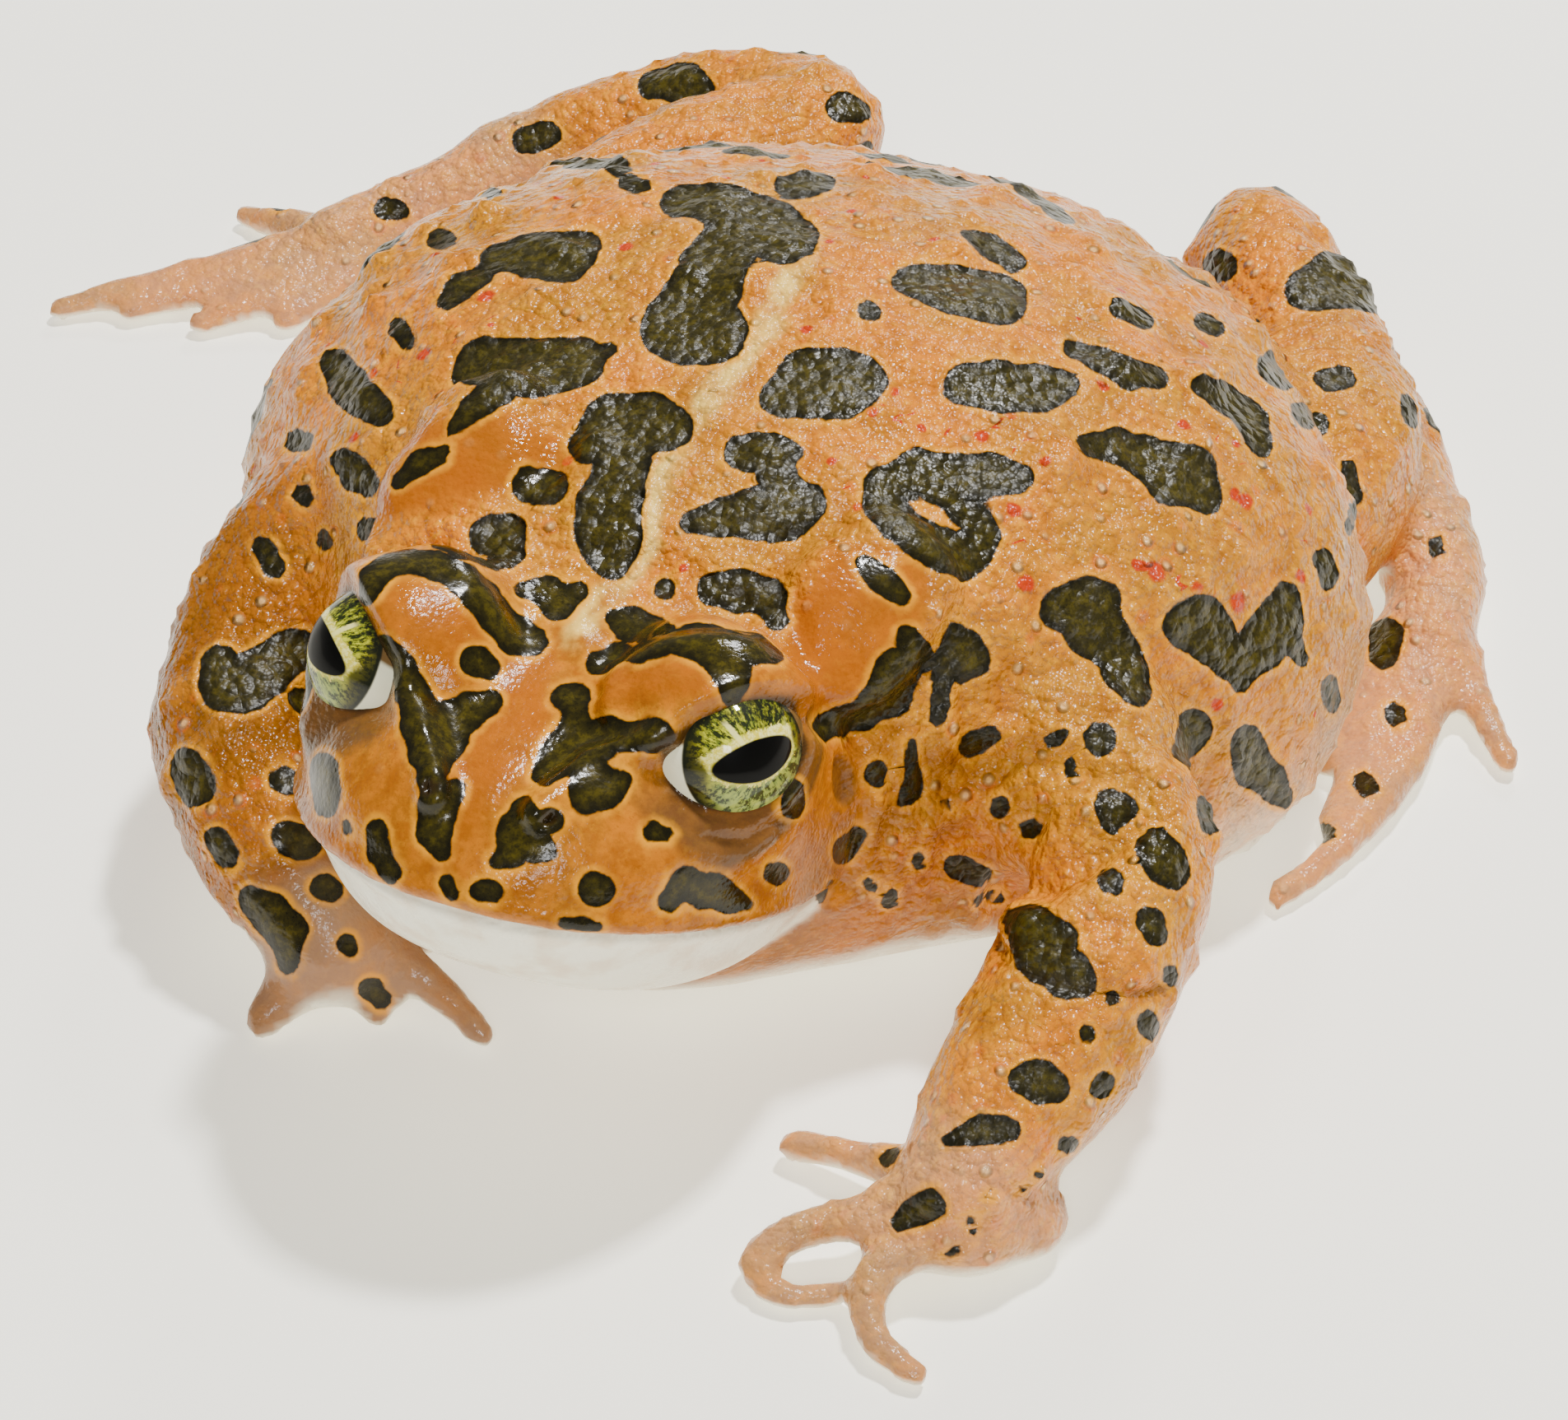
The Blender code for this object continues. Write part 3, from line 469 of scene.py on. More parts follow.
LIMB_BLOTCHES: tuple[Chain, ...] = (
    ((1228, 1118, 14), (1250, 1125, 26), (1265, 1158, 33), (1300, 1185, 27), (1318, 1196, 16)),
    ((1262, 1120, 20), (1288, 1142, 22)),
    ((1398, 1122, 19), (1404, 1132, 18)),
    ((1393, 1240, 14), (1398, 1250, 14)),
    ((1319, 1254, 10), (1322, 1258, 10)),
    ((1296, 1390, 10), (1303, 1392, 10)),
    ((1338, 1322, 13), (1343, 1312, 12)),
    ((1240, 1312, 16), (1264, 1314, 24), (1284, 1322, 18)),
    ((1150, 1385, 6), (1170, 1380, 9), (1196, 1372, 18), (1222, 1373, 15)),
    ((1130, 1463, 20), (1112, 1474, 14), (1092, 1486, 9)),
    ((1076, 1408, 8), (1086, 1400, 7)),
    ((1004, 1456, 7), (1017, 1450, 7)),
    ((1183, 1480, 7), (1180, 1496, 7)),
    ((1201, 1450, 5), (1202, 1452, 5)),
    ((1241, 1442, 5), (1242, 1444, 5)),
    ((1263, 1424, 6), (1264, 1426, 5)),
    ((1154, 1524, 8), (1166, 1518, 6)),
    ((1420, 1182, 10), (1424, 1190, 9)),
    ((1350, 1210, 7), (1353, 1214, 7)),
    ((265, 808, 24), (272, 832, 30), (300, 836, 28), (322, 815, 30), (345, 798, 28), (360, 788, 24)),
    ((226, 932, 24), (238, 955, 27)),
    ((262, 1020, 15), (275, 1040, 17)),
    ((318, 665, 13), (332, 688, 14)),
    ((366, 598, 11), (372, 606, 9)),
    ((392, 655, 10), (397, 660, 9)),
    ((340, 945, 16), (352, 950, 14)),
    ((350, 1018, 20), (368, 1026, 20)),
    ((394, 1076, 16), (400, 1080, 15)),
    ((306, 1094, 18), (328, 1112, 26), (346, 1130, 26), (350, 1170, 14)),
    ((420, 1146, 11), (424, 1150, 10)),
    ((452, 1202, 14), (462, 1212, 12)),
    ((1478, 318, 17), (1486, 326, 16)),
    ((1464, 262, 14), (1452, 286, 11)),
    ((1592, 352, 30), (1630, 340, 42), (1665, 350, 38), (1684, 366, 28)),
    ((1610, 462, 14), (1632, 458, 15)),
    ((1550, 445, 19), (1556, 458, 19)),
    ((1580, 505, 18), (1600, 515, 16)),
    ((1710, 490, 13), (1714, 508, 13)),
    ((1640, 565, 9), (1643, 600, 13), (1640, 640, 9)),
    ((1744, 655, 9), (1746, 668, 9)),
    ((1676, 740, 18), (1684, 770, 20), (1680, 800, 15)),
    ((1695, 865, 12), (1696, 870, 12)),
    ((1657, 950, 13), (1660, 956, 12)),
    ((1608, 1014, 11), (1612, 1010, 10)),
    ((1600, 200, 12), (1606, 208, 11)),
)
# Bright openings inside the dark blotches
WINDOWS: tuple[Chain, ...] = (
    ((772, 926, 7), (754, 925, 7), (738, 927, 5)),
    ((1116, 617, 5), (1136, 627, 6)),
)
RED_SPOTS: Chain = (
    (1232, 619, 9), (1404, 694, 13), (1439, 516, 8), (1454, 716, 8), (1504, 732, 12),
    (1514, 609, 10), (1246, 709, 10), (1193, 530, 8), (1339, 469, 8), (1086, 476, 7),
    (1229, 505, 6), (1043, 616, 7), (515, 430, 9), (450, 455, 9), (590, 360, 10), (331, 438, 16),
    (1380, 685, 6), (1580, 700, 8), (1500, 600, 7), (1060, 500, 7), (1120, 520, 6), (980, 400, 7),
    (1010, 560, 6), (690, 560, 7), (830, 690, 6), (1390, 560, 6), (1270, 560, 7), (760, 300, 8),
)
BACK_LINE: Chain = (
    (980, 290, 6), (955, 345, 7), (930, 400, 8), (895, 440, 7), (862, 480, 8), (838, 515, 8),
    (820, 540, 8), (800, 570, 8), (787, 605, 8), (788, 660, 6), (766, 692, 7), (742, 718, 9),
    (716, 744, 11), (698, 775, 8),
)
GLAND_REGIONS: tuple[Chain, ...] = (
    ((990, 832, 34), (1016, 785, 56), (1052, 735, 62), (1088, 705, 46)),
    ((470, 602, 30), (530, 562, 46), (600, 548, 46), (660, 560, 30)),
    ((722, 832, 30), (770, 806, 42), (830, 795, 46), (880, 812, 40)),
    ((492, 748, 34), (545, 756, 42), (560, 800, 30)),
    ((640, 800, 34), (622, 870, 36), (590, 930, 34), (560, 990, 26)),
)
# Grooves of the skin: depth and half width in millimetres, then pixels
GROOVES: tuple[tuple[float, float, tuple[tuple[float, float], ...]], ...] = (
    (0.55, 0.75, ((1150, 952), (1190, 934), (1255, 926), (1325, 936), (1380, 962))),
    (0.85, 0.75, ((1215, 1096), (1260, 1075), (1310, 1046), (1355, 1022), (1385, 1002))),
    (0.26, 0.34, ((1128, 790), (1128, 850), (1124, 910), (1122, 990))),
    (0.22, 0.32, ((1092, 880), (1086, 940), (1080, 1000), (1070, 1050))),
    (0.22, 0.32, ((1150, 1010), (1144, 1050), (1136, 1092))),
    (0.24, 0.34, ((1176, 1010), (1172, 1052), (1164, 1096))),
    (0.22, 0.32, ((1206, 1024), (1200, 1064), (1196, 1098))),
    (0.20, 0.30, ((1168, 830), (1172, 880), (1168, 920))),
    (0.20, 0.30, ((1224, 870), (1280, 866), (1340, 872))),
    (0.24, 0.36, ((1052, 985), (1036, 1050), (1014, 1092))),
    (0.16, 0.30, ((1270, 985), (1262, 1025), (1246, 1052))),
    (0.16, 0.30, ((1300, 990), (1298, 1022))),
    (0.16, 0.26, ((808, 985), (850, 1018), (905, 1022), (948, 996))),
    (0.18, 0.30, ((1300, 1225), (1350, 1262), (1380, 1300))),
    (0.20, 0.30, ((1180, 1420), (1210, 1440), (1255, 1452))),
    (-0.42, 0.62, ((812, 893), (765, 905), (715, 925), (672, 962), (650, 985))),
    (-0.36, 0.60, ((492, 842), (512, 880), (524, 925), (530, 965))),
    (-0.22, 0.50, ((700, 770), (720, 800), (735, 835), (742, 870))),
    (0.30, 0.60, ((985, 872), (1040, 886), (1100, 856), (1138, 806), (1146, 752), (1124, 700))),
    (0.22, 0.55, ((1124, 700), (1080, 662), (1020, 646), (962, 656))),
    (0.25, 0.55, ((962, 656), (946, 700), (964, 752), (980, 800))),
    (0.22, 0.55, ((700, 520), (680, 560), (640, 610), (560, 620), (470, 640))),
    (0.30, 0.50, ((724, 838), (735, 800), (775, 776), (840, 756), (905, 760))),
    (0.26, 0.50, ((470, 660), (530, 660), (600, 700), (640, 760))),
)
# Nostrils: pixels, and how far the slit leans to the toad's side
NOSTRILS = ((666.0, 993.0, -0.35), (522.0, 957.0, 0.35))
EARDRUM_PIXEL = (1019.0, 947.0)
EARDRUM_HALF = (0.82, 1.5)     # half its width and height, in millimetres
EARDRUM_REACH = 3.0            # how far from its middle it is looked for


class NodeMap:
    """Tells which solid of the frame a place of the skin belongs to."""

    def __init__(self, names: Sequence[str]) -> None:
        """Reads the solids.

        Args:
            names: the nodes to tell apart.
        """
        self.names = tuple(names)
        points: list[Vector] = []
        faces: list[tuple[int, ...]] = []
        self.owner: list[int] = []
        for number, name in enumerate(self.names):
            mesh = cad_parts[name].data
            start = len(points)
            points.extend(vert.co / MM for vert in mesh.vertices)
            faces.extend(tuple(start + v for v in face.vertices) for face in mesh.polygons)
            self.owner.extend([number] * len(mesh.polygons))
        self.tree = BVHTree.FromPolygons(points, faces)

    def owners(self, points: np.ndarray) -> np.ndarray:
        """The number of the nearest solid for each point."""
        return np.array([self.owner[self.tree.find_nearest(Vector(p))[2]] for p in points])

    def share(self, owners: np.ndarray, *parts: str) -> np.ndarray:
        """1 where a point belongs to a solid whose name starts with one of some words, else 0."""
        wanted = [number for number, name in enumerate(self.names) if name.startswith(parts)]
        return np.isin(owners, wanted).astype(float)


class SkinSurface:
    """Points and normals of a mesh in millimetres, with ways to find places on it."""

    grazing = 0.16           # the least share of the skin's normal that faces the camera
    lift = 0.25              # how far off the skin a line of sight starts, in millimetres

    def __init__(self, mesh: bpy.types.Mesh) -> None:
        """Reads a mesh.

        Args:
            mesh: the mesh, in metres.
        """
        count = len(mesh.vertices)
        self.mesh = mesh
        self.points = self.rows(mesh.vertices, "co") / MM
        self.normals = self.rows(mesh.vertex_normals, "vector")
        faces = [tuple(face.vertices) for face in mesh.polygons]
        self.tree = BVHTree.FromPolygons([tuple(p) for p in self.points], faces)
        self.near = KDTree(count)
        for index, point in enumerate(self.points):
            self.near.insert(point, index)
        self.near.balance()

    @staticmethod
    def rows(items: Any, name: str) -> np.ndarray:
        """Reads a row of three numbers for each point of a mesh.

        Args:
            items: what holds the rows, such as the mesh's points.
            name: what is read of each.

        Returns:
            The rows.
        """
        numbers = np.empty(len(items) * 3, dtype=np.float32)
        items.foreach_get(name, numbers)
        return numbers.reshape(-1, 3).astype(float)

    def ends(self) -> tuple[np.ndarray, np.ndarray, np.ndarray]:
        """The edges of the mesh.

        Returns:
            The first and the second point of every edge, and how many edges each point has.
        """
        edges = np.empty(len(self.mesh.edges) * 2, dtype=np.int32)
        self.mesh.edges.foreach_get("vertices", edges)
        first, second = edges.reshape(-1, 2).T
        size = len(self.points)
        return first, second, np.bincount(first, minlength=size) + np.bincount(second, minlength=size)

    def cast(self, x: float, y: float) -> Optional[tuple[np.ndarray, np.ndarray]]:
        """Finds what a pixel of the photograph shows.

        Args:
            x: pixels from the left.
            y: pixels from the top.

        Returns:
            The place and the normal there, or None past the toad's outline.
        """
        place, normal, _, _ = self.tree.ray_cast(VIEW.place_of_eye(), VIEW.ray(x, y))
        if place is None:
            return None
        return np.array(place), np.array(normal)

    def around(self, place: np.ndarray, reach: float) -> tuple[np.ndarray, np.ndarray]:
        """Points close to a place.

        Args:
            place: the place.
            reach: how far to look.

        Returns:
            The points' indices and their distances.
        """
        found = self.near.find_range(Vector(place), reach)
        index = np.array([item[1] for item in found], dtype=int)
        distance = np.array([item[2] for item in found])
        return index, distance

    def write(self) -> None:
        """Puts the points back into the mesh."""
        self.mesh.vertices.foreach_set("co", (self.points * MM).astype(np.float32).ravel())
        self.mesh.update()

    def smoothed(self, amount: np.ndarray, rounds: int) -> None:
        """Evens out the points where asked.

        Args:
            amount: how strongly each point moves to the mean of its neighbours, 0 to 1.
            rounds: how often.
        """
        first, second, count = self.ends()
        for _ in range(rounds):
            total = np.zeros_like(self.points)
            np.add.at(total, first, self.points[second])
            np.add.at(total, second, self.points[first])
            mean = total / np.maximum(count, 1)[:, None]
            self.points += (mean - self.points) * (amount * 0.5)[:, None]

    def spread(self, values: np.ndarray, rounds: int) -> np.ndarray:
        """Blurs numbers over the mesh.

        Args:
            values: one number a point.
            rounds: how often each takes the mean with its neighbours.

        Returns:
            The blurred numbers.
        """
        first, second, count = self.ends()
        size = len(values)
        for _ in range(rounds):
            values = (values + np.bincount(first, values[second], size)
                      + np.bincount(second, values[first], size)) / (count + 1)
        return values

    def seen(self) -> np.ndarray:
        """Looks at the points from the photograph's camera.

        Returns:
            Whether each point is seen in the photograph.
        """
        eye = VIEW.place_of_eye()
        sight = eye - self.points
        sight /= np.linalg.norm(sight, axis=1)[:, None]
        facing = np.einsum("ij,ij->i", sight, self.normals)
        shown = facing > self.grazing
        for index in np.nonzero(shown)[0]:
            start = self.points[index] + self.normals[index] * self.lift
            hit = self.tree.ray_cast(Vector(start), Vector(sight[index]))[0]
            shown[index] = hit is None
        return shown


def chain_distance(points: np.ndarray, centres: np.ndarray, radii: np.ndarray,
                   blend: float) -> np.ndarray:
    """Signed distance from points to a chain of round beads.

    Args:
        points: rows of coordinates.
        centres: the beads' centres.
        radii: the beads' radii.
        blend: how softly the links flow into each other.

    Returns:
        One distance a point, negative inside.
    """
    best = np.full(len(points), FAR)
    for start, end, r0, r1 in zip(centres, centres[1:], radii, radii[1:]):
        along = end - start
        length = max(float(along @ along), 1e-9)
        t = np.clip((points - start) @ along / length, 0.0, 1.0)
        distance = np.linalg.norm(points - start - t[:, None] * along, axis=1) - (r0 + (r1 - r0) * t)
        share = np.maximum(blend - np.abs(best - distance), 0.0) / blend
        best = np.minimum(best, distance) - share * share * blend / 4.0
    return best


class Markings:
    """The toad's colour regions, laid on the skin."""

    depth_share = 0.28            # how much a millimetre of depth counts against one across
    reach = 9.0                   # how far from its middle a blotch or spot is looked for
    seed = 27
    blotch_tries = 900
    limb_sizes = (0.6, 1.25)      # least and largest radius of a made-up blotch on a limb
    back_sizes = (1.0, 2.1)       # and elsewhere, in millimetres
    blotch_gaps = (0.9, 1.7)      # how far apart they stay
    more_spots = 90
    spot_sizes = (0.16, 0.34)
    spot_gap = 2.4                # the least way between a made-up red spot and the next one
    blend = 0.35                  # how softly the circles of a chain join

    def __init__(self, surface: SkinSurface) -> None:
        """Keeps the surface and its points in the camera's axes.

        Args:
            surface: the finished skin.
        """
        self.surface = surface
        self.flat = VIEW.flattened(surface.points, self.depth_share)

    def drawn(self, chain: Chain, blend: float = blend) -> np.ndarray:
        """Distance to one chain of circles drawn on the photograph.

        Args:
            chain: circles in pixels.
            blend: how softly the circles join.

        Returns:
            Signed distance in millimetres, large where the chain is far away.
        """
        centres, radii = [], []
        for x, y, radius in chain:
            hit = self.surface.cast(x, y)
            if hit is None:
                continue
            centres.append(hit[0])
            radii.append(radius / VIEW.scale(hit[0]))
        result = np.full(len(self.flat), FAR)
        if len(centres) < 2:
            return result
        places = np.array(centres)
        low, high = places.min(axis=0) - self.reach, places.max(axis=0) + self.reach
        near = np.all((self.surface.points > low) & (self.surface.points < high), axis=1)
        result[near] = chain_distance(self.flat[near], VIEW.flattened(places, self.depth_share),
                                      np.array(radii), blend)
        return result

    def spots(self, circles: Chain, back: np.ndarray) -> np.ndarray:
        """Small round spots, those of the photograph and some more over the back.

        Args:
            circles: the spots in pixels.
            back: where more of them may lie.

        Returns:
            For each point, the way from the nearest spot's middle in that spot's radii.
        """
        points = self.surface.points
        middles, sizes = [], []
        for x, y, radius in circles:
            hit = self.surface.cast(x, y)
            if hit is not None:
                middles.append(hit[0])
                sizes.append(1.15 * radius / VIEW.scale(hit[0]))
        draw = np.random.default_rng(self.seed)
        for index in draw.choice(np.nonzero(back)[0], self.more_spots):
            if min(np.linalg.norm(points[index] - middle) for middle in middles) > self.spot_gap:
                middles.append(points[index])
                sizes.append(draw.uniform(*self.spot_sizes))
        result = np.full((len(points), 3), self.reach)
        best = np.full(len(points), self.reach)
        for middle, size in zip(middles, sizes):
            index, distance = self.surface.around(middle, 1.2 + 2.0 * size)
            closer = distance < best[index] * size
            index, distance = index[closer], distance[closer]
            best[index] = distance / size
            result[index] = (points[index] - middle) / size
        return result

    def blotches(self, free: np.ndarray, limbs: np.ndarray) -> np.ndarray:
        """Distance to all dark blotches.

        Args:
            free: where the photograph doesn't show the back, so that blotches are made up.
            limbs: 1 on arms and legs, whose blotches are smaller.

        Returns:
            Signed distance in millimetres.
        """
        best = np.full(len(self.flat), FAR)
        for chain in (*HEAD_BLOTCHES, *NECK_BLOTCHES, *BACK_BLOTCHES, *LIMB_BLOTCHES):
            best = np.minimum(best, self.drawn(chain))
        for chain in WINDOWS:
            best = np.maximum(best, -self.drawn(chain))
        draw = np.random.default_rng(self.seed)
        points, normals = self.surface.points, self.surface.normals
        choices = np.nonzero(free)[0]
        for _ in range(self.blotch_tries):
            index = int(draw.choice(choices))
            place, normal = points[index], normals[index]
            size = draw.uniform(*(self.limb_sizes if limbs[index] else self.back_sizes))
            if best[index] < size + draw.uniform(*self.blotch_gaps):
                continue
            across = unit(np.cross(normal, draw.normal(size=3)))
            beads, radii = [place], [size]
            for _ in range(int(draw.integers(1, 3))):
                step = unit(across + draw.normal(size=3) * 0.45) * size * draw.uniform(0.7, 1.2)
                beads.append(beads[-1] + step - normal * float(step @ normal))
                radii.append(size * draw.uniform(0.7, 1.05))
            low, high = place - self.reach, place + self.reach
            near = np.all((points > low) & (points < high), axis=1)
            added = chain_distance(points[near], np.array(beads), np.array(radii), self.blend)
            best[near] = np.minimum(best[near], added)
        return best


@dataclass
class ToadSkin:
    """The one soft skin over head, body and limbs."""

    voxel: float = 0.57
    puff: float = 0.28               # how far each solid swells, to close the gaps
    smoothing: int = 4
    head_reach: float = 15.5         # where the mesh is finer, from the middle of each form
    eye_reach: float = 6.0
    nostril_reach: float = 1.5
    lid_zone: tuple[float, float] = (1.5, 7.0)
    fine_middle: Point = (0.0, -1.5, -4.5)     # of the head, from its centre
    # The right arm's solids, painted darker as painted shade and for their own browner tone
    shaded_arm: tuple[str, ...] = ("upper_arm_right", "forearm_right", "hand_right")
    groove_share: float = 0.4        # how much depth counts against a way across the view
    groove_reach: float = 3.0        # how far past its ends a groove is looked for
    wart_seed: int = 5
    wart_tries: int = 5200
    wart_cell: float = 2.0           # side of the cells in which a wart's neighbours are found
    wart_foot: float = 1.25          # radius of a wart's foot, and its height, in its sizes
    wart_height: float = 0.42
    digit_start: float = 4.6         # past this way from a wrist or ankle digits don't swell
    # The wrists and ankles
    digit_joints: tuple[Point, ...] = (
        (21.6, -30.8, 4.7), (-13.8, -26.4, 4.8), (25.9, 24.4, 3.6), (-28.2, 37.0, 4.8))
    # Balls in an eye's own axes, first their places (out, forward, up), then their half sizes
    eye_balls: tuple[tuple[Point, Point], ...] = (
        ((0.0, 0.0, 0.0), (4.55, 4.55, 4.55)),
        ((-1.0, -0.2, 2.2), (4.0, 4.0, 3.1)),
        ((1.6, 0.5, -2.4), (3.3, 3.3, 2.1)))
    # Balls that fill the neck on both sides, in the straight head's axes
    neck_balls: tuple[tuple[Point, Point], ...] = (
        ((9.6, -20.6, 14.2), (3.0, 3.0, 5.0)),
        ((8.4, -18.4, 20.0), (4.2, 3.4, 2.4)))
    shoulder_balls: tuple[tuple[Point, Point], ...] = (
        ((19.0, -12.4, 12.8), (5.6, 5.4, 5.2)),
        ((-18.6, -9.4, 13.2), (5.8, 5.6, 5.4)))
    flesh: tuple[str, ...] = (
        "torso", "head", "lower_jaw", "eardrum_left", "eardrum_right", "parotoid_left",
        "parotoid_right", "upper_arm_left", "upper_arm_right", "forearm_left", "forearm_right",
        "hand_left", "hand_right", "thigh_left", "thigh_right", "shank_left", "shank_right",
        "tarsus_left", "tarsus_right", "foot_left", "foot_right",
    )

    def build(self) -> bpy.types.Object:
        """Makes the skin, sculpts it and paints its regions.

        Returns:
            The skin, still without its finish.
        """
        skin = self.melted(self.gathered())
        self.refined(skin)
        surface = SkinSurface(skin.data)
        self.sculpt_lids(surface)
        self.sculpt_face(surface)
        surface.write()
        surface = SkinSurface(skin.data)
        self.sculpt_grooves(surface)
        warts = self.sculpt_warts(surface)
        surface.points[:, 2] = np.maximum(surface.points[:, 2], 0.0)
        surface.write()
        self.paint(SkinSurface(skin.data), warts)
        return skin

    def gathered(self) -> bmesh.types.BMesh:
        """Puts the flesh nodes together, each swollen a little so that the gaps between them close.

        Returns:
            The nodes and the balls that fill lids, neck and shoulders, as loose shells.
        """
        everything = bmesh.new()
        for name in self.flesh:
            piece = bmesh.new()
            piece.from_mesh(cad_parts[name].data)
            bmesh.ops.remove_doubles(piece, verts=piece.verts, dist=1e-6)
            piece.normal_update()
            digits = name.startswith(("hand", "foot"))
            for vert in piece.verts:
                away = min((vert.co / MM - Vector(joint)).length for joint in self.digit_joints)
                puff = self.puff * (1.0 - min(max(away - self.digit_start, 0.0), 1.0) * digits)
                vert.co += vert.normal * puff * MM
            shell = bpy.data.meshes.new(name + "_shell")
            piece.to_mesh(shell)
            piece.free()
            everything.from_mesh(shell)
            bpy.data.meshes.remove(shell)
        for eye in EYES.values():
            out, forward, up = eye.axes()
            for (o, f, u), half in self.eye_balls:
                self.ball(everything, eye.centre() + up * u + out * o + forward * f, half)
        for side in (1, -1):
            for (x, y, z), half in self.neck_balls:
                self.ball(everything, HEAD.turned((x * side, y, z)), half)
        for place, half in self.shoulder_balls:
            self.ball(everything, np.array(place), half)
        return everything

    @staticmethod
    def ball(target: bmesh.types.BMesh, centre: np.ndarray, half: Sequence[float]) -> None:
        """Adds an ellipsoid.

        Args:
            target: what it is added to.
            centre: its centre in millimetres.
            half: its three half sizes.
        """
        place = Matrix.Translation(Vector(centre) * MM) @ Matrix.Diagonal(Vector(half) * MM).to_4x4()
        bmesh.ops.create_icosphere(target, subdivisions=3, radius=1.0, matrix=place)

    def melted(self, pieces: bmesh.types.BMesh) -> bpy.types.Object:
        """Makes one closed skin.

        Args:
            pieces: the loose shells, which are freed.

        Returns:
            The skin around all of them.
        """
        mesh = bpy.data.meshes.new("skin")
        pieces.to_mesh(mesh)
        pieces.free()
        rough = placed("skin_rough", mesh)
        melt = rough.modifiers.new("melt", "REMESH")
        melt.mode = "VOXEL"
        melt.voxel_size = self.voxel * MM
        soften = rough.modifiers.new("soften", "SMOOTH")
        soften.factor = 0.5
        soften.iterations = self.smoothing
        bpy.context.view_layer.update()
        graph = bpy.context.evaluated_depsgraph_get()
        melted = bpy.data.meshes.new_from_object(rough.evaluated_get(graph))
        bpy.data.objects.remove(rough, do_unlink=True)
        melted.name = "toad_skin"
        return placed("toad_skin", melted)

    def refined(self, skin: bpy.types.Object) -> None:
        """Splits the faces of the head, then those round eyes and nostrils once more.

        Args:
            skin: the closed skin.
        """
        bm = bmesh.new()
        bm.from_mesh(skin.data)
        self.keep_largest(bm)
        centre = Vector(HEAD.centre) * MM
        self.split(bm, [centre + Vector(self.fine_middle) * MM], self.head_reach)
        self.split(bm, [Vector(eye.centre()) * MM for eye in EYES.values()], self.eye_reach)
        surface = SkinSurface(skin.data)
        hits = [surface.cast(x, y) for x, y, _ in NOSTRILS]
        self.split(bm, [Vector(hit[0]) * MM for hit in hits if hit is not None], self.nostril_reach)
        bm.to_mesh(skin.data)
        bm.free()
        skin.data.update()

    @staticmethod
    def split(bm: bmesh.types.BMesh, centres: Sequence[Vector], reach: float) -> None:
        """Halves the edges near some centres and smooths there.

        Args:
            bm: the skin.
            centres: places in metres.
            reach: distance in millimetres within which edges are halved.
        """
        limit = reach * MM
        close = {v for v in bm.verts if any((v.co - c).length < limit for c in centres)}
        edges = [e for e in bm.edges if e.verts[0] in close and e.verts[1] in close]
        bmesh.ops.subdivide_edges(bm, edges=edges, cuts=1, use_grid_fill=True)
        close = [v for v in bm.verts if any((v.co - c).length < limit + MM for c in centres)]
        for _ in range(2):
            bmesh.ops.smooth_vert(bm, verts=close, factor=0.5, use_axis_x=True, use_axis_y=True,
                                  use_axis_z=True)

    @staticmethod
    def keep_largest(bm: bmesh.types.BMesh) -> None:
        """Drops closed scraps and inner shells, so that one surface stays.

        Args:
            bm: the skin.
        """
        left = set(bm.verts)
        groups = []
        while left:
            seed = left.pop()
            group, edge = {seed}, [seed]
            while edge:
                for link in edge.pop().link_edges:
                    for vert in link.verts:
                        if vert in left:
                            left.remove(vert)
                            group.add(vert)
                            edge.append(vert)
            groups.append(group)
        groups.sort(key=len, reverse=True)
        loose = [vert for group in groups[1:] for vert in group]
        bmesh.ops.delete(bm, geom=loose, context="VERTS")

    def sculpt_lids(self, surface: SkinSurface) -> None:
        """Draws the skin round the eyeballs into thick lids with a clean edge.

        Args:
            surface: the skin.
        """
        for eye in EYES.values():
            reach, forward, rise = eye.arcs(surface.points)
            edge = eye.from_opening(forward, rise)
            upper = smooth_step(-0.6, 1.2, rise - eye.open_centre[1])
            thick = 0.42 + 0.55 * upper
            inside = HEAD.eye_radius - 0.5
            brim = HEAD.eye_radius + thick * smooth_step(-0.12, 0.62, edge)
            target = np.where(edge < -0.12, inside, brim)
            target = inside + (target - inside) * smooth_step(-0.45, 0.0, edge)
            keep = np.maximum(smooth_step(0.7, 2.3, edge), smooth_step(0.9, 2.2, reach - HEAD.eye_radius)
                              * smooth_step(0.0, 0.5, edge))
            near = (reach > self.lid_zone[0]) & (reach < self.lid_zone[1])
            wanted = target + (np.maximum(reach, HEAD.eye_radius + 0.3) - target) * keep
            change = np.where(near, wanted / reach, 1.0)
            centre = eye.centre()
            surface.points = centre + (surface.points - centre) * change[:, None]
            ring = near * smooth_step(0.35, 0.8, edge) * smooth_step(3.6, 2.4, edge)
            surface.smoothed(ring, 6)

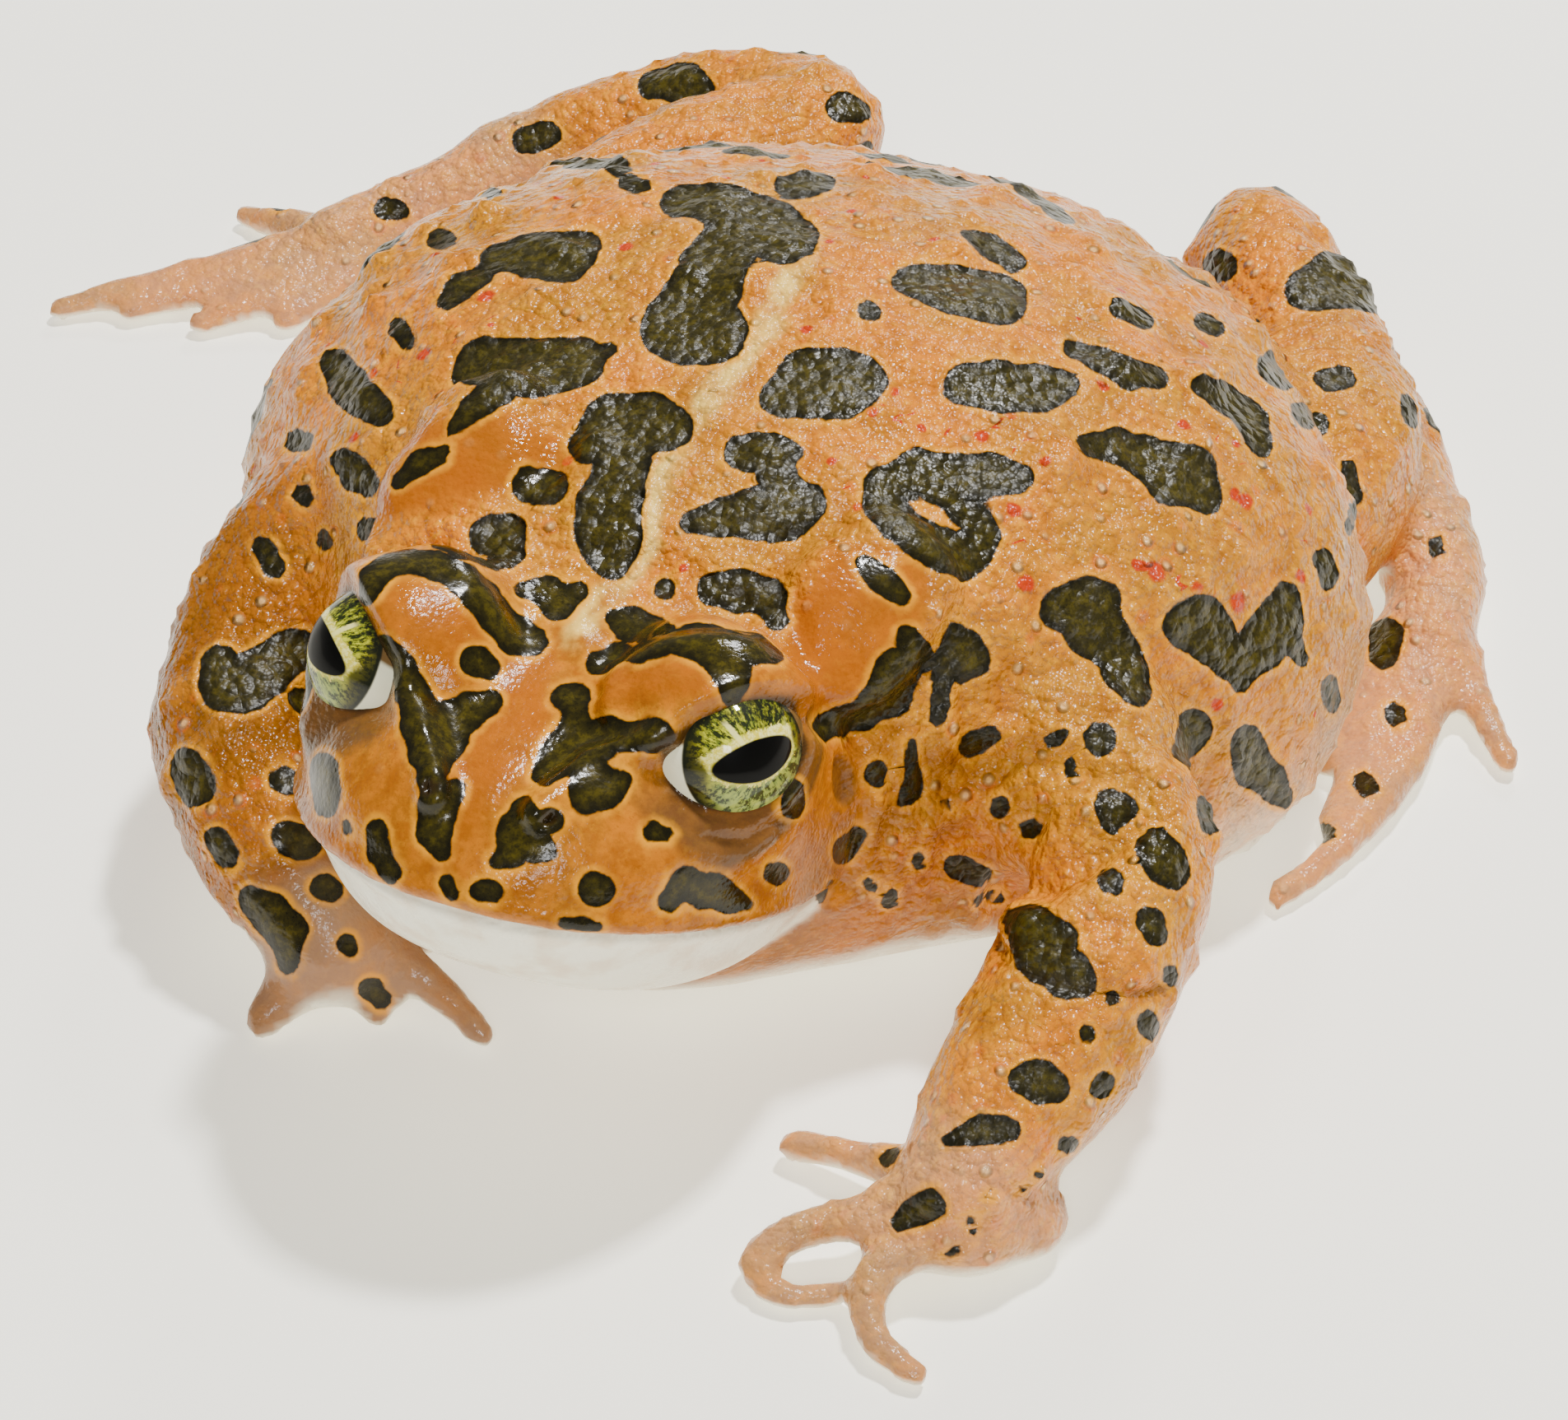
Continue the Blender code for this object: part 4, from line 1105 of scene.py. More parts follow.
    def sculpt_face(self, surface: SkinSurface) -> None:
        """Presses in the nostrils, the line of the mouth and the eardrums.

        Args:
            surface: the skin.
        """
        for x, y, lean in NOSTRILS:
            hit = surface.cast(x, y)
            if hit is None:
                continue
            place, normal = hit
            index, distance = surface.around(place, 2.2)
            offset = surface.points[index] - place
            slit = unit(np.cross(normal, np.array([lean, -1.0, 0.2])))
            across = np.abs(offset @ slit)
            distance = np.hypot(across * 1.55, np.sqrt(np.maximum(distance ** 2 - across ** 2, 0.0)))
            push = 0.04 * np.exp(-((distance - 0.8) / 0.3) ** 2) - 0.5 * np.exp(-(distance / 0.36) ** 2)
            surface.points[index] += normal * push[:, None]
        height = HEAD.above_mouth(surface.points)
        local = HEAD.straight(surface.points)
        in_front = smooth_step(-21.6, -24.2, local[:, 1])
        groove = -0.42 * np.exp(-(height / 0.3) ** 2) * in_front
        lip = 0.14 * np.exp(-((height - 0.75) / 0.45) ** 2) * in_front
        surface.points += surface.normals * (groove + lip)[:, None]
        for side in (1, -1):
            outer, near = self.from_eardrum(surface, side)
            dent = -0.16 * smooth_step(1.0, 0.75, outer) + 0.14 * np.exp(-((outer - 1.12) / 0.2) ** 2)
            surface.points += surface.normals * np.where(near, dent, 0.0)[:, None]

    @staticmethod
    def from_eardrum(surface: SkinSurface, side: int) -> tuple[np.ndarray, np.ndarray]:
        """How far points are from an eardrum's middle.

        Args:
            surface: the skin.
            side: 1 for the left eardrum, -1 for the right one.

        Returns:
            The way in the eardrum's half sizes, and whether a point is close to it at all.
        """
        hit = surface.cast(*EARDRUM_PIXEL)
        place = HEAD.straight(hit[0][None, :])[0]
        place[0] *= side
        offset = HEAD.straight(surface.points) - place
        wide, high = EARDRUM_HALF
        outer = np.hypot(offset[:, 1] / wide, offset[:, 2] / high)
        return outer, np.linalg.norm(offset, axis=1) < EARDRUM_REACH

    def sculpt_grooves(self, surface: SkinSurface) -> None:
        """Presses in the folds of neck, shoulder and limbs.

        Args:
            surface: the skin.
        """
        flat = VIEW.flattened(surface.points, self.groove_share)
        for depth, width, line in GROOVES:
            hits = [surface.cast(x, y) for x, y in line]
            places = np.array([hit[0] for hit in hits if hit is not None])
            if len(places) < 2:
                continue
            distance = chain_distance(flat, VIEW.flattened(places, self.groove_share),
                                      np.zeros(len(places)), 0.1)
            low, high = places.min(axis=0) - self.groove_reach, places.max(axis=0) + self.groove_reach
            near = np.all((surface.points > low) & (surface.points < high), axis=1)
            press = np.where(near, depth * np.exp(-(distance / width) ** 2), 0.0)
            swell = np.where(near, 0.3 * depth * np.exp(-((distance - 2.2 * width) / width) ** 2), 0.0)
            surface.points += surface.normals * (swell - press)[:, None]

    def roughness_of_skin(self, points: np.ndarray, normals: np.ndarray) -> np.ndarray:
        """How warty the skin is.

        Args:
            points: rows of x, y, z.
            normals: which way the skin faces there.

        Returns:
            One number a point, from nearly 0 on the snout to 1 on the back.
        """
        local = HEAD.straight(points)
        on_head = smooth_step(-19.5, -23.5, local[:, 1]) * smooth_step(14.5, 13.0, np.abs(local[:, 0]))
        belly = smooth_step(0.1, -0.5, normals[:, 2])
        rough = 1.0 - 0.93 * on_head
        rough *= 1.0 - 0.4 * belly
        low = smooth_step(4.0, 1.0, points[:, 2])
        return rough * (1.0 - 0.75 * low)

    @staticmethod
    def swelling(points: np.ndarray, rough: np.ndarray) -> np.ndarray:
        """Broad soft unevenness of loose skin.

        Args:
            points: rows of x, y, z.
            rough: how warty the skin is there.

        Returns:
            One height a point, in millimetres.
        """
        wide = np.array([noise.noise(Vector(p) * 0.17) for p in points])
        close = np.array([noise.noise(Vector(p) * 0.46) for p in points])
        return (wide * 0.45 + close * 0.20) * rough

    def sculpt_warts(self, surface: SkinSurface) -> np.ndarray:
        """Raises low round warts over the back, sides and limbs.

        Args:
            surface: the skin.

        Returns:
            The height that each point was raised, from 0 to 1.
        """
        draw = np.random.default_rng(self.wart_seed)
        rough = self.roughness_of_skin(surface.points, surface.normals)
        gland = self.gland_mask(Markings(surface))
        raised = np.zeros(len(surface.points))
        surface.points += surface.normals * self.swelling(surface.points, rough)[:, None]
        choices = draw.integers(0, len(surface.points), self.wart_tries)
        grid: dict[tuple[int, int, int], list[np.ndarray]] = {}
        for index in choices:
            place = surface.points[index]
            if rough[index] < draw.uniform(0.15, 0.8) or gland[index] > 0.3:
                continue
            size = 0.34 + 0.62 * draw.random() ** 2.2
            cell = tuple(int(c // self.wart_cell) for c in place)
            crowd = [p for dx in (-1, 0, 1) for dy in (-1, 0, 1) for dz in (-1, 0, 1)
                     for p in grid.get((cell[0] + dx, cell[1] + dy, cell[2] + dz), ())]
            if any(np.linalg.norm(place - p[:3]) < (size + p[3]) * 0.95 for p in crowd):
                continue
            grid.setdefault(cell, []).append(np.append(place, size))
            near, distance = surface.around(place, size * self.wart_foot)
            bump = np.clip(1.0 - (distance / (size * self.wart_foot)) ** 2, 0.0, 1.0) ** 1.5
            strength = self.wart_height * size * (0.55 + 0.45 * rough[index])
            raised[near] = np.maximum(raised[near], bump * strength)
        surface.points += surface.normals * raised[:, None]
        LOG.info("warts raised: %d", sum(len(places) for places in grid.values()))
        return np.clip(raised / 0.25, 0.0, 1.0)

    @staticmethod
    def gland_mask(markings: Markings) -> np.ndarray:
        """The smooth reddish skin of lids, snout and the glands behind the eyes.

        Args:
            markings: the markings on the skin.

        Returns:
            How much of it each point has, from 0 to 1.
        """
        best = np.full(len(markings.flat), FAR)
        for chain in GLAND_REGIONS:
            best = np.minimum(best, markings.drawn(chain, 1.0))
        return smooth_step(0.7, -0.5, best)

    def paint(self, surface: SkinSurface, warts: np.ndarray) -> None:
        """Works out the colour regions and stores them on the mesh.

        Args:
            surface: the finished skin.
            warts: the warts' heights.
        """
        markings = Markings(surface)
        points, normals = surface.points, surface.normals
        solids = NodeMap(self.flesh)
        owners = solids.owners(points)
        head = surface.spread(solids.share(owners, *HEAD_SOLIDS), 2)
        trunk = surface.spread(solids.share(owners, "torso"), 3)
        limbs = 1.0 - solids.share(owners, *HEAD_SOLIDS, "torso", "parotoid")
        hands = surface.spread(solids.share(owners, "hand", "foot"), 6)
        arm = surface.spread(solids.share(owners, *self.shaded_arm), 6)
        chest = smooth_step(-13.0, -17.0, points[:, 1]) * smooth_step(0.35, -0.2, normals[:, 2])
        cheek = 0.4 * head * smooth_step(7.0, 3.0, HEAD.above_mouth(points))
        pale = np.maximum(self.pale_skin(surface, head, trunk), 0.12 * hands)
        free = self.free_places(surface, pale) & (solids.share(owners, "hand") < 0.5)
        blotch = markings.blotches(free, limbs)
        # dark holds the painted shade of the lid edges, nostril pits and mouth line
        dark, grey = self.face_lines(surface)
        gland = self.gland_mask(markings)
        grain = self.roughness_of_skin(points, normals) * (1.0 - 0.9 * gland)
        # painted shade on the right arm with its own browner tone, and darker brown on the lower chest
        # and the cheeks
        brown = np.maximum.reduce([arm, 0.6 * chest * trunk, cheek])
        values = {
            Mask.BLOTCH: np.clip(blotch, -markings.reach, markings.reach),
            Mask.LINE: smooth_step(0.6, -0.1, markings.drawn(BACK_LINE, 0.2)),
            Mask.GLAND: gland, Mask.PALE: pale, Mask.GRAIN: grain, Mask.DARK: dark,
            Mask.GREY: grey, Mask.WART: warts, Mask.BROWN: brown,
        }
        store(surface.mesh, {mask.value: numbers for mask, numbers in values.items()})
        back = (trunk > 0.5) & (normals[:, 2] > 0.2) & (points[:, 1] > -16.0) & (blotch > 0.4)
        layer = surface.mesh.attributes.new(Mask.RED.value, "FLOAT_VECTOR", "POINT")
        layer.data.foreach_set("vector", markings.spots(RED_SPOTS, back).astype(np.float32).ravel())

    @staticmethod
    def pale_skin(surface: SkinSurface, head: np.ndarray, trunk: np.ndarray) -> np.ndarray:
        """The cream of jaw, throat, belly and lower flanks.

        Args:
            surface: the skin.
            head: 1 on the head.
            trunk: 1 on the torso.

        Returns:
            How cream each point is, from 0 to 1.
        """
        points, normals = surface.points, surface.normals
        height = HEAD.above_mouth(points)
        local = HEAD.straight(points)
        drop = 3.2 * smooth_step(-24.6, -21.4, local[:, 1])
        jaw = smooth_step(0.42, 0.12, height + drop) * smooth_step(-19.5, -22.2, local[:, 1]) * head
        throat = trunk * smooth_step(-15.0, -19.0, points[:, 1]) * smooth_step(4.4, 3.0, points[:, 2])
        under = smooth_step(0.05, -0.55, normals[:, 2]) * smooth_step(5.4, 3.0, points[:, 2])
        flank = 0.45 * trunk * smooth_step(0.45, -0.2, normals[:, 2])
        flank = flank * smooth_step(11.0, 4.0, points[:, 2]) * smooth_step(-16.0, -9.0, points[:, 1])
        return np.maximum.reduce([jaw, throat * 0.6, under, flank])

    @staticmethod
    def free_places(surface: SkinSurface, pale: np.ndarray) -> np.ndarray:
        """Where blotches are made up.

        Args:
            surface: the skin.
            pale: how cream each point is, from 0 to 1.

        Returns:
            Whether a point is coloured skin that the photograph doesn't show.
        """
        points, normals = surface.points, surface.normals
        seen = surface.seen()
        free = ~seen & (normals[:, 2] > -0.15) & (points[:, 2] > 1.5) & (pale < 0.4)
        free &= surface.spread((~seen).astype(float), 4) > 0.8
        return free & (np.linalg.norm(points - np.array(HEAD.centre), axis=1) > 5.0)

    def face_lines(self, surface: SkinSurface) -> tuple[np.ndarray, np.ndarray]:
        """The fine lines of the face.

        Args:
            surface: the skin.

        Returns:
            The painted shade along the lid edges, in the nostril pits and along the mouth, then the grey
            skin below the eyes and on the eardrums, both from 0 to 1.
        """
        dark = np.zeros(len(surface.points))
        grey = np.zeros(len(surface.points))
        for eye in EYES.values():
            reach, forward, rise = eye.arcs(surface.points)
            edge = eye.from_opening(forward, rise)
            close = reach < self.lid_zone[1]
            lower = smooth_step(1.6, -0.6, rise) * smooth_step(6.8, 5.7, reach)
            # painted shade in the crease along the edge of the lids
            dark = np.maximum(dark, close * smooth_step(0.24, 0.0, edge))
            fold = np.exp(-((edge - 1.45) / 0.22) ** 2) * 0.5
            band = (0.9 * smooth_step(1.75, 1.1, edge) + fold) * smooth_step(-0.1, 0.2, edge) * lower
            rim = smooth_step(0.5, 0.15, edge) * (0.25 + 0.5 * lower)
            grey = np.maximum(grey, close * np.maximum(band, rim))
        # painted shade in the nostril pits
        for x, y, _ in NOSTRILS:
            hit = surface.cast(x, y)
            if hit is not None:
                index, distance = surface.around(hit[0], 1.2)
                dark[index] = np.maximum(dark[index], smooth_step(0.5, 0.25, distance))
        # painted shade along the line of the mouth
        front = smooth_step(-21.8, -23.2, HEAD.straight(surface.points)[:, 1])
        mouth = np.exp(-(HEAD.above_mouth(surface.points) / 0.26) ** 2)
        dark = np.maximum(dark, 0.4 * mouth * front)
        for side in (1, -1):
            outer, near = self.from_eardrum(surface, side)
            grey = np.maximum(grey, near * 0.8 * smooth_step(1.1, 0.7, outer))
        return dark, grey


class Term:
    """A socket in a sum: the operators add the Math nodes that it needs."""

    def __init__(self, tree: "Shader", socket: bpy.types.NodeSocket) -> None:
        """Keeps the shader and the socket."""
        self.tree = tree
        self.socket = socket

    def __add__(self, other: Any) -> "Term":
        """The sum."""
        return self.tree.math("ADD", self, other)

    __radd__ = __add__

    def __sub__(self, other: Any) -> "Term":
        """The difference."""
        return self.tree.math("SUBTRACT", self, other)

    def __rsub__(self, other: Any) -> "Term":
        """A number less this."""
        return self.tree.math("SUBTRACT", other, self)

    def __mul__(self, other: Any) -> "Term":
        """The product."""
        return self.tree.math("MULTIPLY", self, other)

    __rmul__ = __mul__


def srgb(red: float, green: float, blue: float) -> Colour:
    """A colour from its 0 to 255 numbers, as light."""
    light = [(c / 255.0 + 0.055) / 1.055 for c in (red, green, blue)]
    return (*[c ** 2.4 for c in light], 1.0)


class Shader:
    """A material being built around one Principled shader."""

    def __init__(self, name: str) -> None:
        """Starts an empty material.

        Args:
            name: the material's name.
        """
        self.material = bpy.data.materials.new(name)
        self.material.use_nodes = True
        self.nodes = self.material.node_tree.nodes
        self.links = self.material.node_tree.links
        self.surface = self.nodes["Principled BSDF"]

    def node(self, kind: str, settings: Optional[dict[str, Any]] = None,
             sockets: Optional[dict[Any, Any]] = None, output: Any = 0) -> Term:
        """Adds a node.

        Args:
            kind: the node's type.
            settings: its properties, set first.
            sockets: values or links of its inputs, by name or number.
            output: the output to go on with.

        Returns:
            The chosen output.
        """
        made = self.nodes.new(kind)
        for key, value in (settings or {}).items():
            setattr(made, key, value)
        for key, value in (sockets or {}).items():
            self.feed(made.inputs[key], value)
        return Term(self, made.outputs[output])

    def feed(self, socket: bpy.types.NodeSocket, value: Any) -> None:
        """Links or sets one input.

        Args:
            socket: the input.
            value: another node's output, or a plain value.
        """
        if isinstance(value, Term):
            self.links.new(value.socket, socket)
        else:
            socket.default_value = value

    def math(self, operation: str, first: Any, second: Any = 0.0) -> Term:
        """One Math node."""
        return self.node("ShaderNodeMath", {"operation": operation}, {0: first, 1: second})

    def ramp(self, value: Any, low: float, high: float) -> Term:
        """A soft step from 0 at low to 1 at high."""
        return self.node("ShaderNodeMapRange", {"interpolation_type": "SMOOTHSTEP"},
                         {"Value": value, "From Min": low, "From Max": high})

    def mix(self, factor: Any, first: Any, second: Any) -> Term:
        """A blend of two colours."""
        return self.node("ShaderNodeMix", {"data_type": "RGBA"}, {0: factor, 6: first, 7: second}, 2)

    def place(self) -> Term:
        """Where a point of the piece is, in millimetres."""
        raw = self.node("ShaderNodeTexCoord", output="Object")
        return self.node("ShaderNodeVectorMath", {"operation": "SCALE"}, {0: raw, "Scale": 1.0 / MM})

    def noise(self, vector: Term, scale: float, detail: float = 2.0, rough: float = 0.5) -> Term:
        """Soft noise with the given number of waves a millimetre."""
        return self.node("ShaderNodeTexNoise", {}, {"Vector": vector, "Scale": scale,
                                                    "Detail": detail, "Roughness": rough})

    def cells(self, vector: Term, scale: float) -> Term:
        """Distance to the middle of the nearest of many small cells."""
        return self.node("ShaderNodeTexVoronoi", {"feature": "F1"},
                         {"Vector": vector, "Scale": scale, "Randomness": 0.95})

    def mask(self, name: str) -> Term:
        """A number stored on the mesh."""
        return self.node("ShaderNodeAttribute", {"attribute_name": name}, output="Fac")

    def finish(self, sockets: dict[str, Any], height: Optional[Term] = None) -> bpy.types.Material:
        """Feeds the Principled shader.

        Args:
            sockets: its inputs by name.
            height: bumps in millimetres.

        Returns:
            The material.
        """
        for key, value in sockets.items():
            self.feed(self.surface.inputs[key], value)
        if height is not None:
            bump = self.node("ShaderNodeBump", {}, {"Height": height, "Distance": MM, "Strength": 1.0})
            self.feed(self.surface.inputs["Normal"], bump)
        return self.material


@dataclass(frozen=True)
class SkinFinish:
    """Wet, finely granular toad skin with olive blotches."""

    tan: Colour = srgb(224, 128, 8)
    khaki: Colour = srgb(192, 126, 20)
    orange: Colour = srgb(158, 92, 8)
    pink: Colour = srgb(238, 150, 30)
    # pale wart tips, lightened further as a painted highlight
    tip_and_highlight: Colour = srgb(255, 212, 140)
    wart: Colour = srgb(206, 84, 20)
    ochre: Colour = srgb(254, 186, 18)
    gland: Colour = srgb(168, 84, 0)
    halo: Colour = srgb(240, 160, 8)
    olive: Colour = srgb(44, 39, 10)
    moss: Colour = srgb(72, 63, 12)
    black: Colour = srgb(11, 10, 4)
    cream: Colour = srgb(252, 248, 226)
    line: Colour = srgb(254, 214, 104)
    red: Colour = srgb(190, 38, 0)
    shade: Colour = srgb(48, 34, 16)
    brown: Colour = srgb(150, 76, 8)
    mauve: Colour = srgb(80, 62, 40)
    # dark brown of the right arm's painted shade, of the lower chest and of the cheeks
    umber_and_shade: Colour = srgb(112, 62, 8)

    def material(self) -> bpy.types.Material:
        """Mixes colours, relief and gloss by the skin's masks.

        Returns:
            The material.
        """
        s = Shader("toad_skin")
        p = s.place()
        mask = {item: s.mask(item.value) for item in Mask if item is not Mask.RED}
        spot = s.node("ShaderNodeAttribute", {"attribute_name": Mask.RED.value}, output="Vector")
        far = s.node("ShaderNodeVectorMath", {"operation": "LENGTH"}, {0: spot}, "Value")
        grain, gland, pale = mask[Mask.GRAIN], mask[Mask.GLAND], mask[Mask.PALE]
        broad = s.noise(p, 0.16, 2.0)
        middle = s.noise(p, 0.55, 3.0)
        fine = s.noise(p, 2.2, 3.0, 0.6)
        speck = s.noise(p, 6.5, 2.0, 0.6)
        cells = s.cells(p, 1.45)
        pebbles = s.cells(p, 3.6)
        colour = s.mix(s.ramp(broad, 0.36, 0.64), self.tan, self.khaki)
        colour = s.mix(s.ramp(middle, 0.5, 0.74) * 0.4, colour, self.pink)
        colour = s.mix(s.ramp(fine, 0.5, 0.72) * 0.35, colour, self.ochre)
        smooth = 1.0 - grain
        colour = s.mix(smooth * 0.55, colour, self.orange)
        mottle = s.noise(p, 1.1, 4.0, 0.7)
        colour = s.mix(s.ramp(mottle, 0.46, 0.6) * smooth * 0.5, colour, self.tan)
        colour = s.mix(s.ramp(mottle, 0.5, 0.38) * smooth * 0.35, colour, self.gland)
        colour = s.mix(gland * (0.62 + (middle - 0.5) * 0.9), colour, self.gland)
        colour = s.mix(s.ramp(speck, 0.56, 0.72) * 0.4, colour, self.brown)
        colour = s.mix(s.ramp(middle, 0.5, 0.36) * 0.3, colour, self.brown)
        colour = s.mix(s.ramp(cells, 0.42, 0.8) * grain * 0.36, colour, self.brown)
        colour = s.mix(s.ramp(cells, 0.32, 0.1) * grain * 0.25, colour, self.pink)
        # painted shade on the right arm with its own browner tone; darker brown on the lower chest and
        # cheeks
        colour = s.mix(mask[Mask.BROWN] * (0.7 + (broad - 0.5) * 0.8), colour, self.umber_and_shade)
        colour = s.mix(mask[Mask.WART] * grain * 0.3, colour, self.pink)
        warts = s.cells(p, 0.62)
        knobs = s.ramp(warts, 0.23, 0.07) * grain
        reddish = s.ramp(warts, 0.36, 0.2) * s.ramp(middle, 0.46, 0.6)
        colour = s.mix(reddish * grain * 0.5, colour, self.wart)
        # paler wart tips, partly their own colour, partly a painted highlight
        colour = s.mix(knobs * 0.52, colour, self.tip_and_highlight)
        colour = s.mix(s.ramp(far + (fine - 0.5) * 0.8, 1.2, 0.7) * 0.9, colour, self.red)
        colour = s.mix(mask[Mask.LINE] * s.ramp(middle, 0.25, 0.6) * 0.85, colour, self.line)
        colour = s.mix(pale, colour, s.mix(s.ramp(middle, 0.4, 0.7) * 0.3, self.cream, self.khaki))
        wobble = (s.noise(p, 0.7, 1.0) - 0.5) * 0.42 + (s.noise(p, 2.6, 2.0) - 0.5) * 0.16
        edge = mask[Mask.BLOTCH] + wobble - 0.06
        colour = s.mix(mask[Mask.GREY] * 0.85, colour, self.mauve)
        keep = 1.0 - s.ramp(pale, 0.45, 0.9)
        glow = s.ramp(edge, 0.4, 0.06) * (0.25 + s.ramp(middle, 0.36, 0.6) * 0.5)
        colour = s.mix(glow * keep, colour, self.halo)
        body = s.mix(s.ramp(fine, 0.4, 0.68), self.olive, self.moss)
        body = s.mix(s.ramp(edge, -0.7, -0.05) * 0.82, body, self.black)
        body = s.mix(s.ramp(speck, 0.5, 0.68) * 0.45, body, self.black)
        inside = s.ramp(edge, 0.06, -0.06) * keep
        colour = s.mix(inside, colour, body)
        # painted shade of the lid edges, nostril pits and mouth line
        colour = s.mix(mask[Mask.DARK] * 0.9, colour, self.shade)
        clear = s.ramp(mask[Mask.BLOTCH], -0.1, 0.2)
        height = (1.0 - cells) * grain * (0.18 + clear * 0.08) + knobs * clear * 0.34
        height = height + (1.0 - pebbles) * (grain * 0.08 + 0.02) * (0.4 + clear * 0.6)
        height = height + s.noise(p, 5.0, 2.0, 0.55) * 0.03 * (0.4 + clear * 0.6)
        wet = s.ramp(s.noise(p, 0.3, 2.0), 0.4, 0.62)
        dull = grain * 0.07 + inside * grain * 0.13 + pale * 0.15 + (fine - 0.5) * 0.1
        rough = 0.2 + dull - wet * 0.1 - knobs * 0.14 * (1.0 - inside)
        return s.finish({"Base Color": colour, "Roughness": rough, "Specular IOR Level": 0.28},
                        height)


@dataclass(frozen=True)
class EyeFinish:
    """Lime and black flecked iris with a black level pupil under a wet cornea."""

    lime: Colour = srgb(214, 214, 50)
    # pale gold of the ring round the pupil, and the painted highlight streak
    bright_and_glint: Colour = srgb(252, 244, 150)
    gold: Colour = srgb(222, 206, 60)
    green: Colour = srgb(84, 102, 30)
    amber: Colour = srgb(104, 92, 16)
    # pale silver-green of the lower iris, a painted sheen
    silver_sheen: Colour = srgb(128, 150, 84)
    rim: Colour = srgb(112, 84, 44)
    fleck: Colour = srgb(22, 26, 10)
    black: Colour = srgb(3, 3, 2)
    cream: Colour = srgb(250, 248, 214)

    def material(self) -> bpy.types.Material:
        """Mixes iris, pupil and rim by the eyeball's attributes.

        Returns:
            The material.
        """
        s = Shader("toad_eye")
        p = s.place()
        pupil, radius, rise = s.mask("pupil"), s.mask("iris"), s.mask("rise")
        streak = s.node("ShaderNodeCombineXYZ", {}, {
            0: s.mask("ray_x") * 4.2, 1: s.mask("ray_y") * 4.2, 2: radius * 0.9})
        threads = s.noise(streak, 1.6, 4.0, 0.7)
        grainy = s.noise(p, 5.0, 3.0, 0.7)
        ahead = s.mask("ray_x") * radius
        colour = s.mix(s.ramp(threads, 0.42, 0.64), self.green, self.lime)
        # painted sheen: the lower iris is mixed towards pale silver-green
        colour = s.mix(s.ramp(rise, 0.2, -1.3) * 0.7, colour, self.silver_sheen)
        colour = s.mix(s.ramp(ahead, 1.6, 2.6) * 0.75, colour, self.amber)
        dark = s.ramp(threads * 0.62 + grainy * 0.38, 0.52, 0.45)
        colour = s.mix(dark * 0.85, colour, self.fleck)
        upper = s.ramp(rise, 1.1, 2.2) * s.ramp(grainy, 0.68, 0.42)
        rear = s.ramp(ahead, 0.6, -1.2) * s.ramp(rise, 0.5, 1.2) * s.ramp(grainy, 0.72, 0.44)
        colour = s.mix(upper * 0.8, colour, self.fleck)
        colour = s.mix(rear * 0.8, colour, self.fleck)
        ends = s.ramp(s.mask("level"), 0.55, 0.15) * s.ramp(pupil, 1.3, 0.2)
        colour = s.mix(ends * 0.75, colour, self.fleck)
        wide = s.ramp(rise, -0.2, 0.5) * 0.24 + 0.1
        ragged = pupil + (threads - 0.5) * 0.9 + (grainy - 0.5) * 0.35 - wide
        ring = s.ramp(ragged, 0.06, -0.02) * (1.0 - ends)
        gold = s.mix(s.ramp(grainy, 0.40, 0.6), self.gold, self.bright_and_glint)
        colour = s.mix(ring * 0.95, colour, gold)
        # painted highlight: a bright streak on the iris above the pupil, where the light's reflection
        # falls
        along = (ahead - 0.45) * 0.94 - (rise - 0.86) * 0.34 + (grainy - 0.5) * 0.15
        glint_streak = s.ramp(along, -0.17, -0.07) * s.ramp(along, 0.17, 0.07)
        glint_streak = glint_streak * s.ramp(rise, 2.1, 1.7) * s.ramp(rise, 0.6, 0.9)
        colour = s.mix(glint_streak * 0.85, colour, self.bright_and_glint)
        colour = s.mix(s.ramp(radius, 2.5, 3.1) * 0.8, colour, self.fleck)
        white = s.mix(s.ramp(ahead, 0.5, 1.0) * s.ramp(rise, 1.5, 1.2), self.rim, self.cream)
        colour = s.mix(s.ramp(radius, 3.2, 3.28), colour, white)
        colour = s.mix(s.ramp(radius, 3.04, 3.14) * s.ramp(radius, 3.34, 3.24) * 0.9, colour, self.fleck)
        inside = s.ramp(pupil, 0.05, -0.03)
        colour = s.mix(inside, colour, self.black)
        sockets = {
            "Base Color": colour, "Roughness": 0.5, "Coat Roughness": 0.03,
            "Coat Weight": 0.6 - inside * 0.45, "Specular IOR Level": 0.05,
        }
        height = threads * 0.03 * s.ramp(pupil, 0.0, 0.2)
        return s.finish(sockets, height)


@dataclass(frozen=True)
class FloorFinish:
    """Plain pale card under the toad."""

    colour: Colour = srgb(252, 250, 240)
    cloud: Colour = srgb(238, 230, 212)
    glow: Colour = srgb(255, 251, 236)
    glow_strength: float = 0.7

    def material(self) -> bpy.types.Material:
        """Makes the card's finish, which glows a little.

        Returns:
            The material.
        """
        s = Shader("pale_card")
        tone = s.mix(s.noise(s.place(), 0.02, 2.0) * 0.25, self.colour, self.cloud)
        return s.finish({"Base Color": tone, "Roughness": 0.7, "Emission Color": self.glow,
                         "Emission Strength": self.glow_strength})


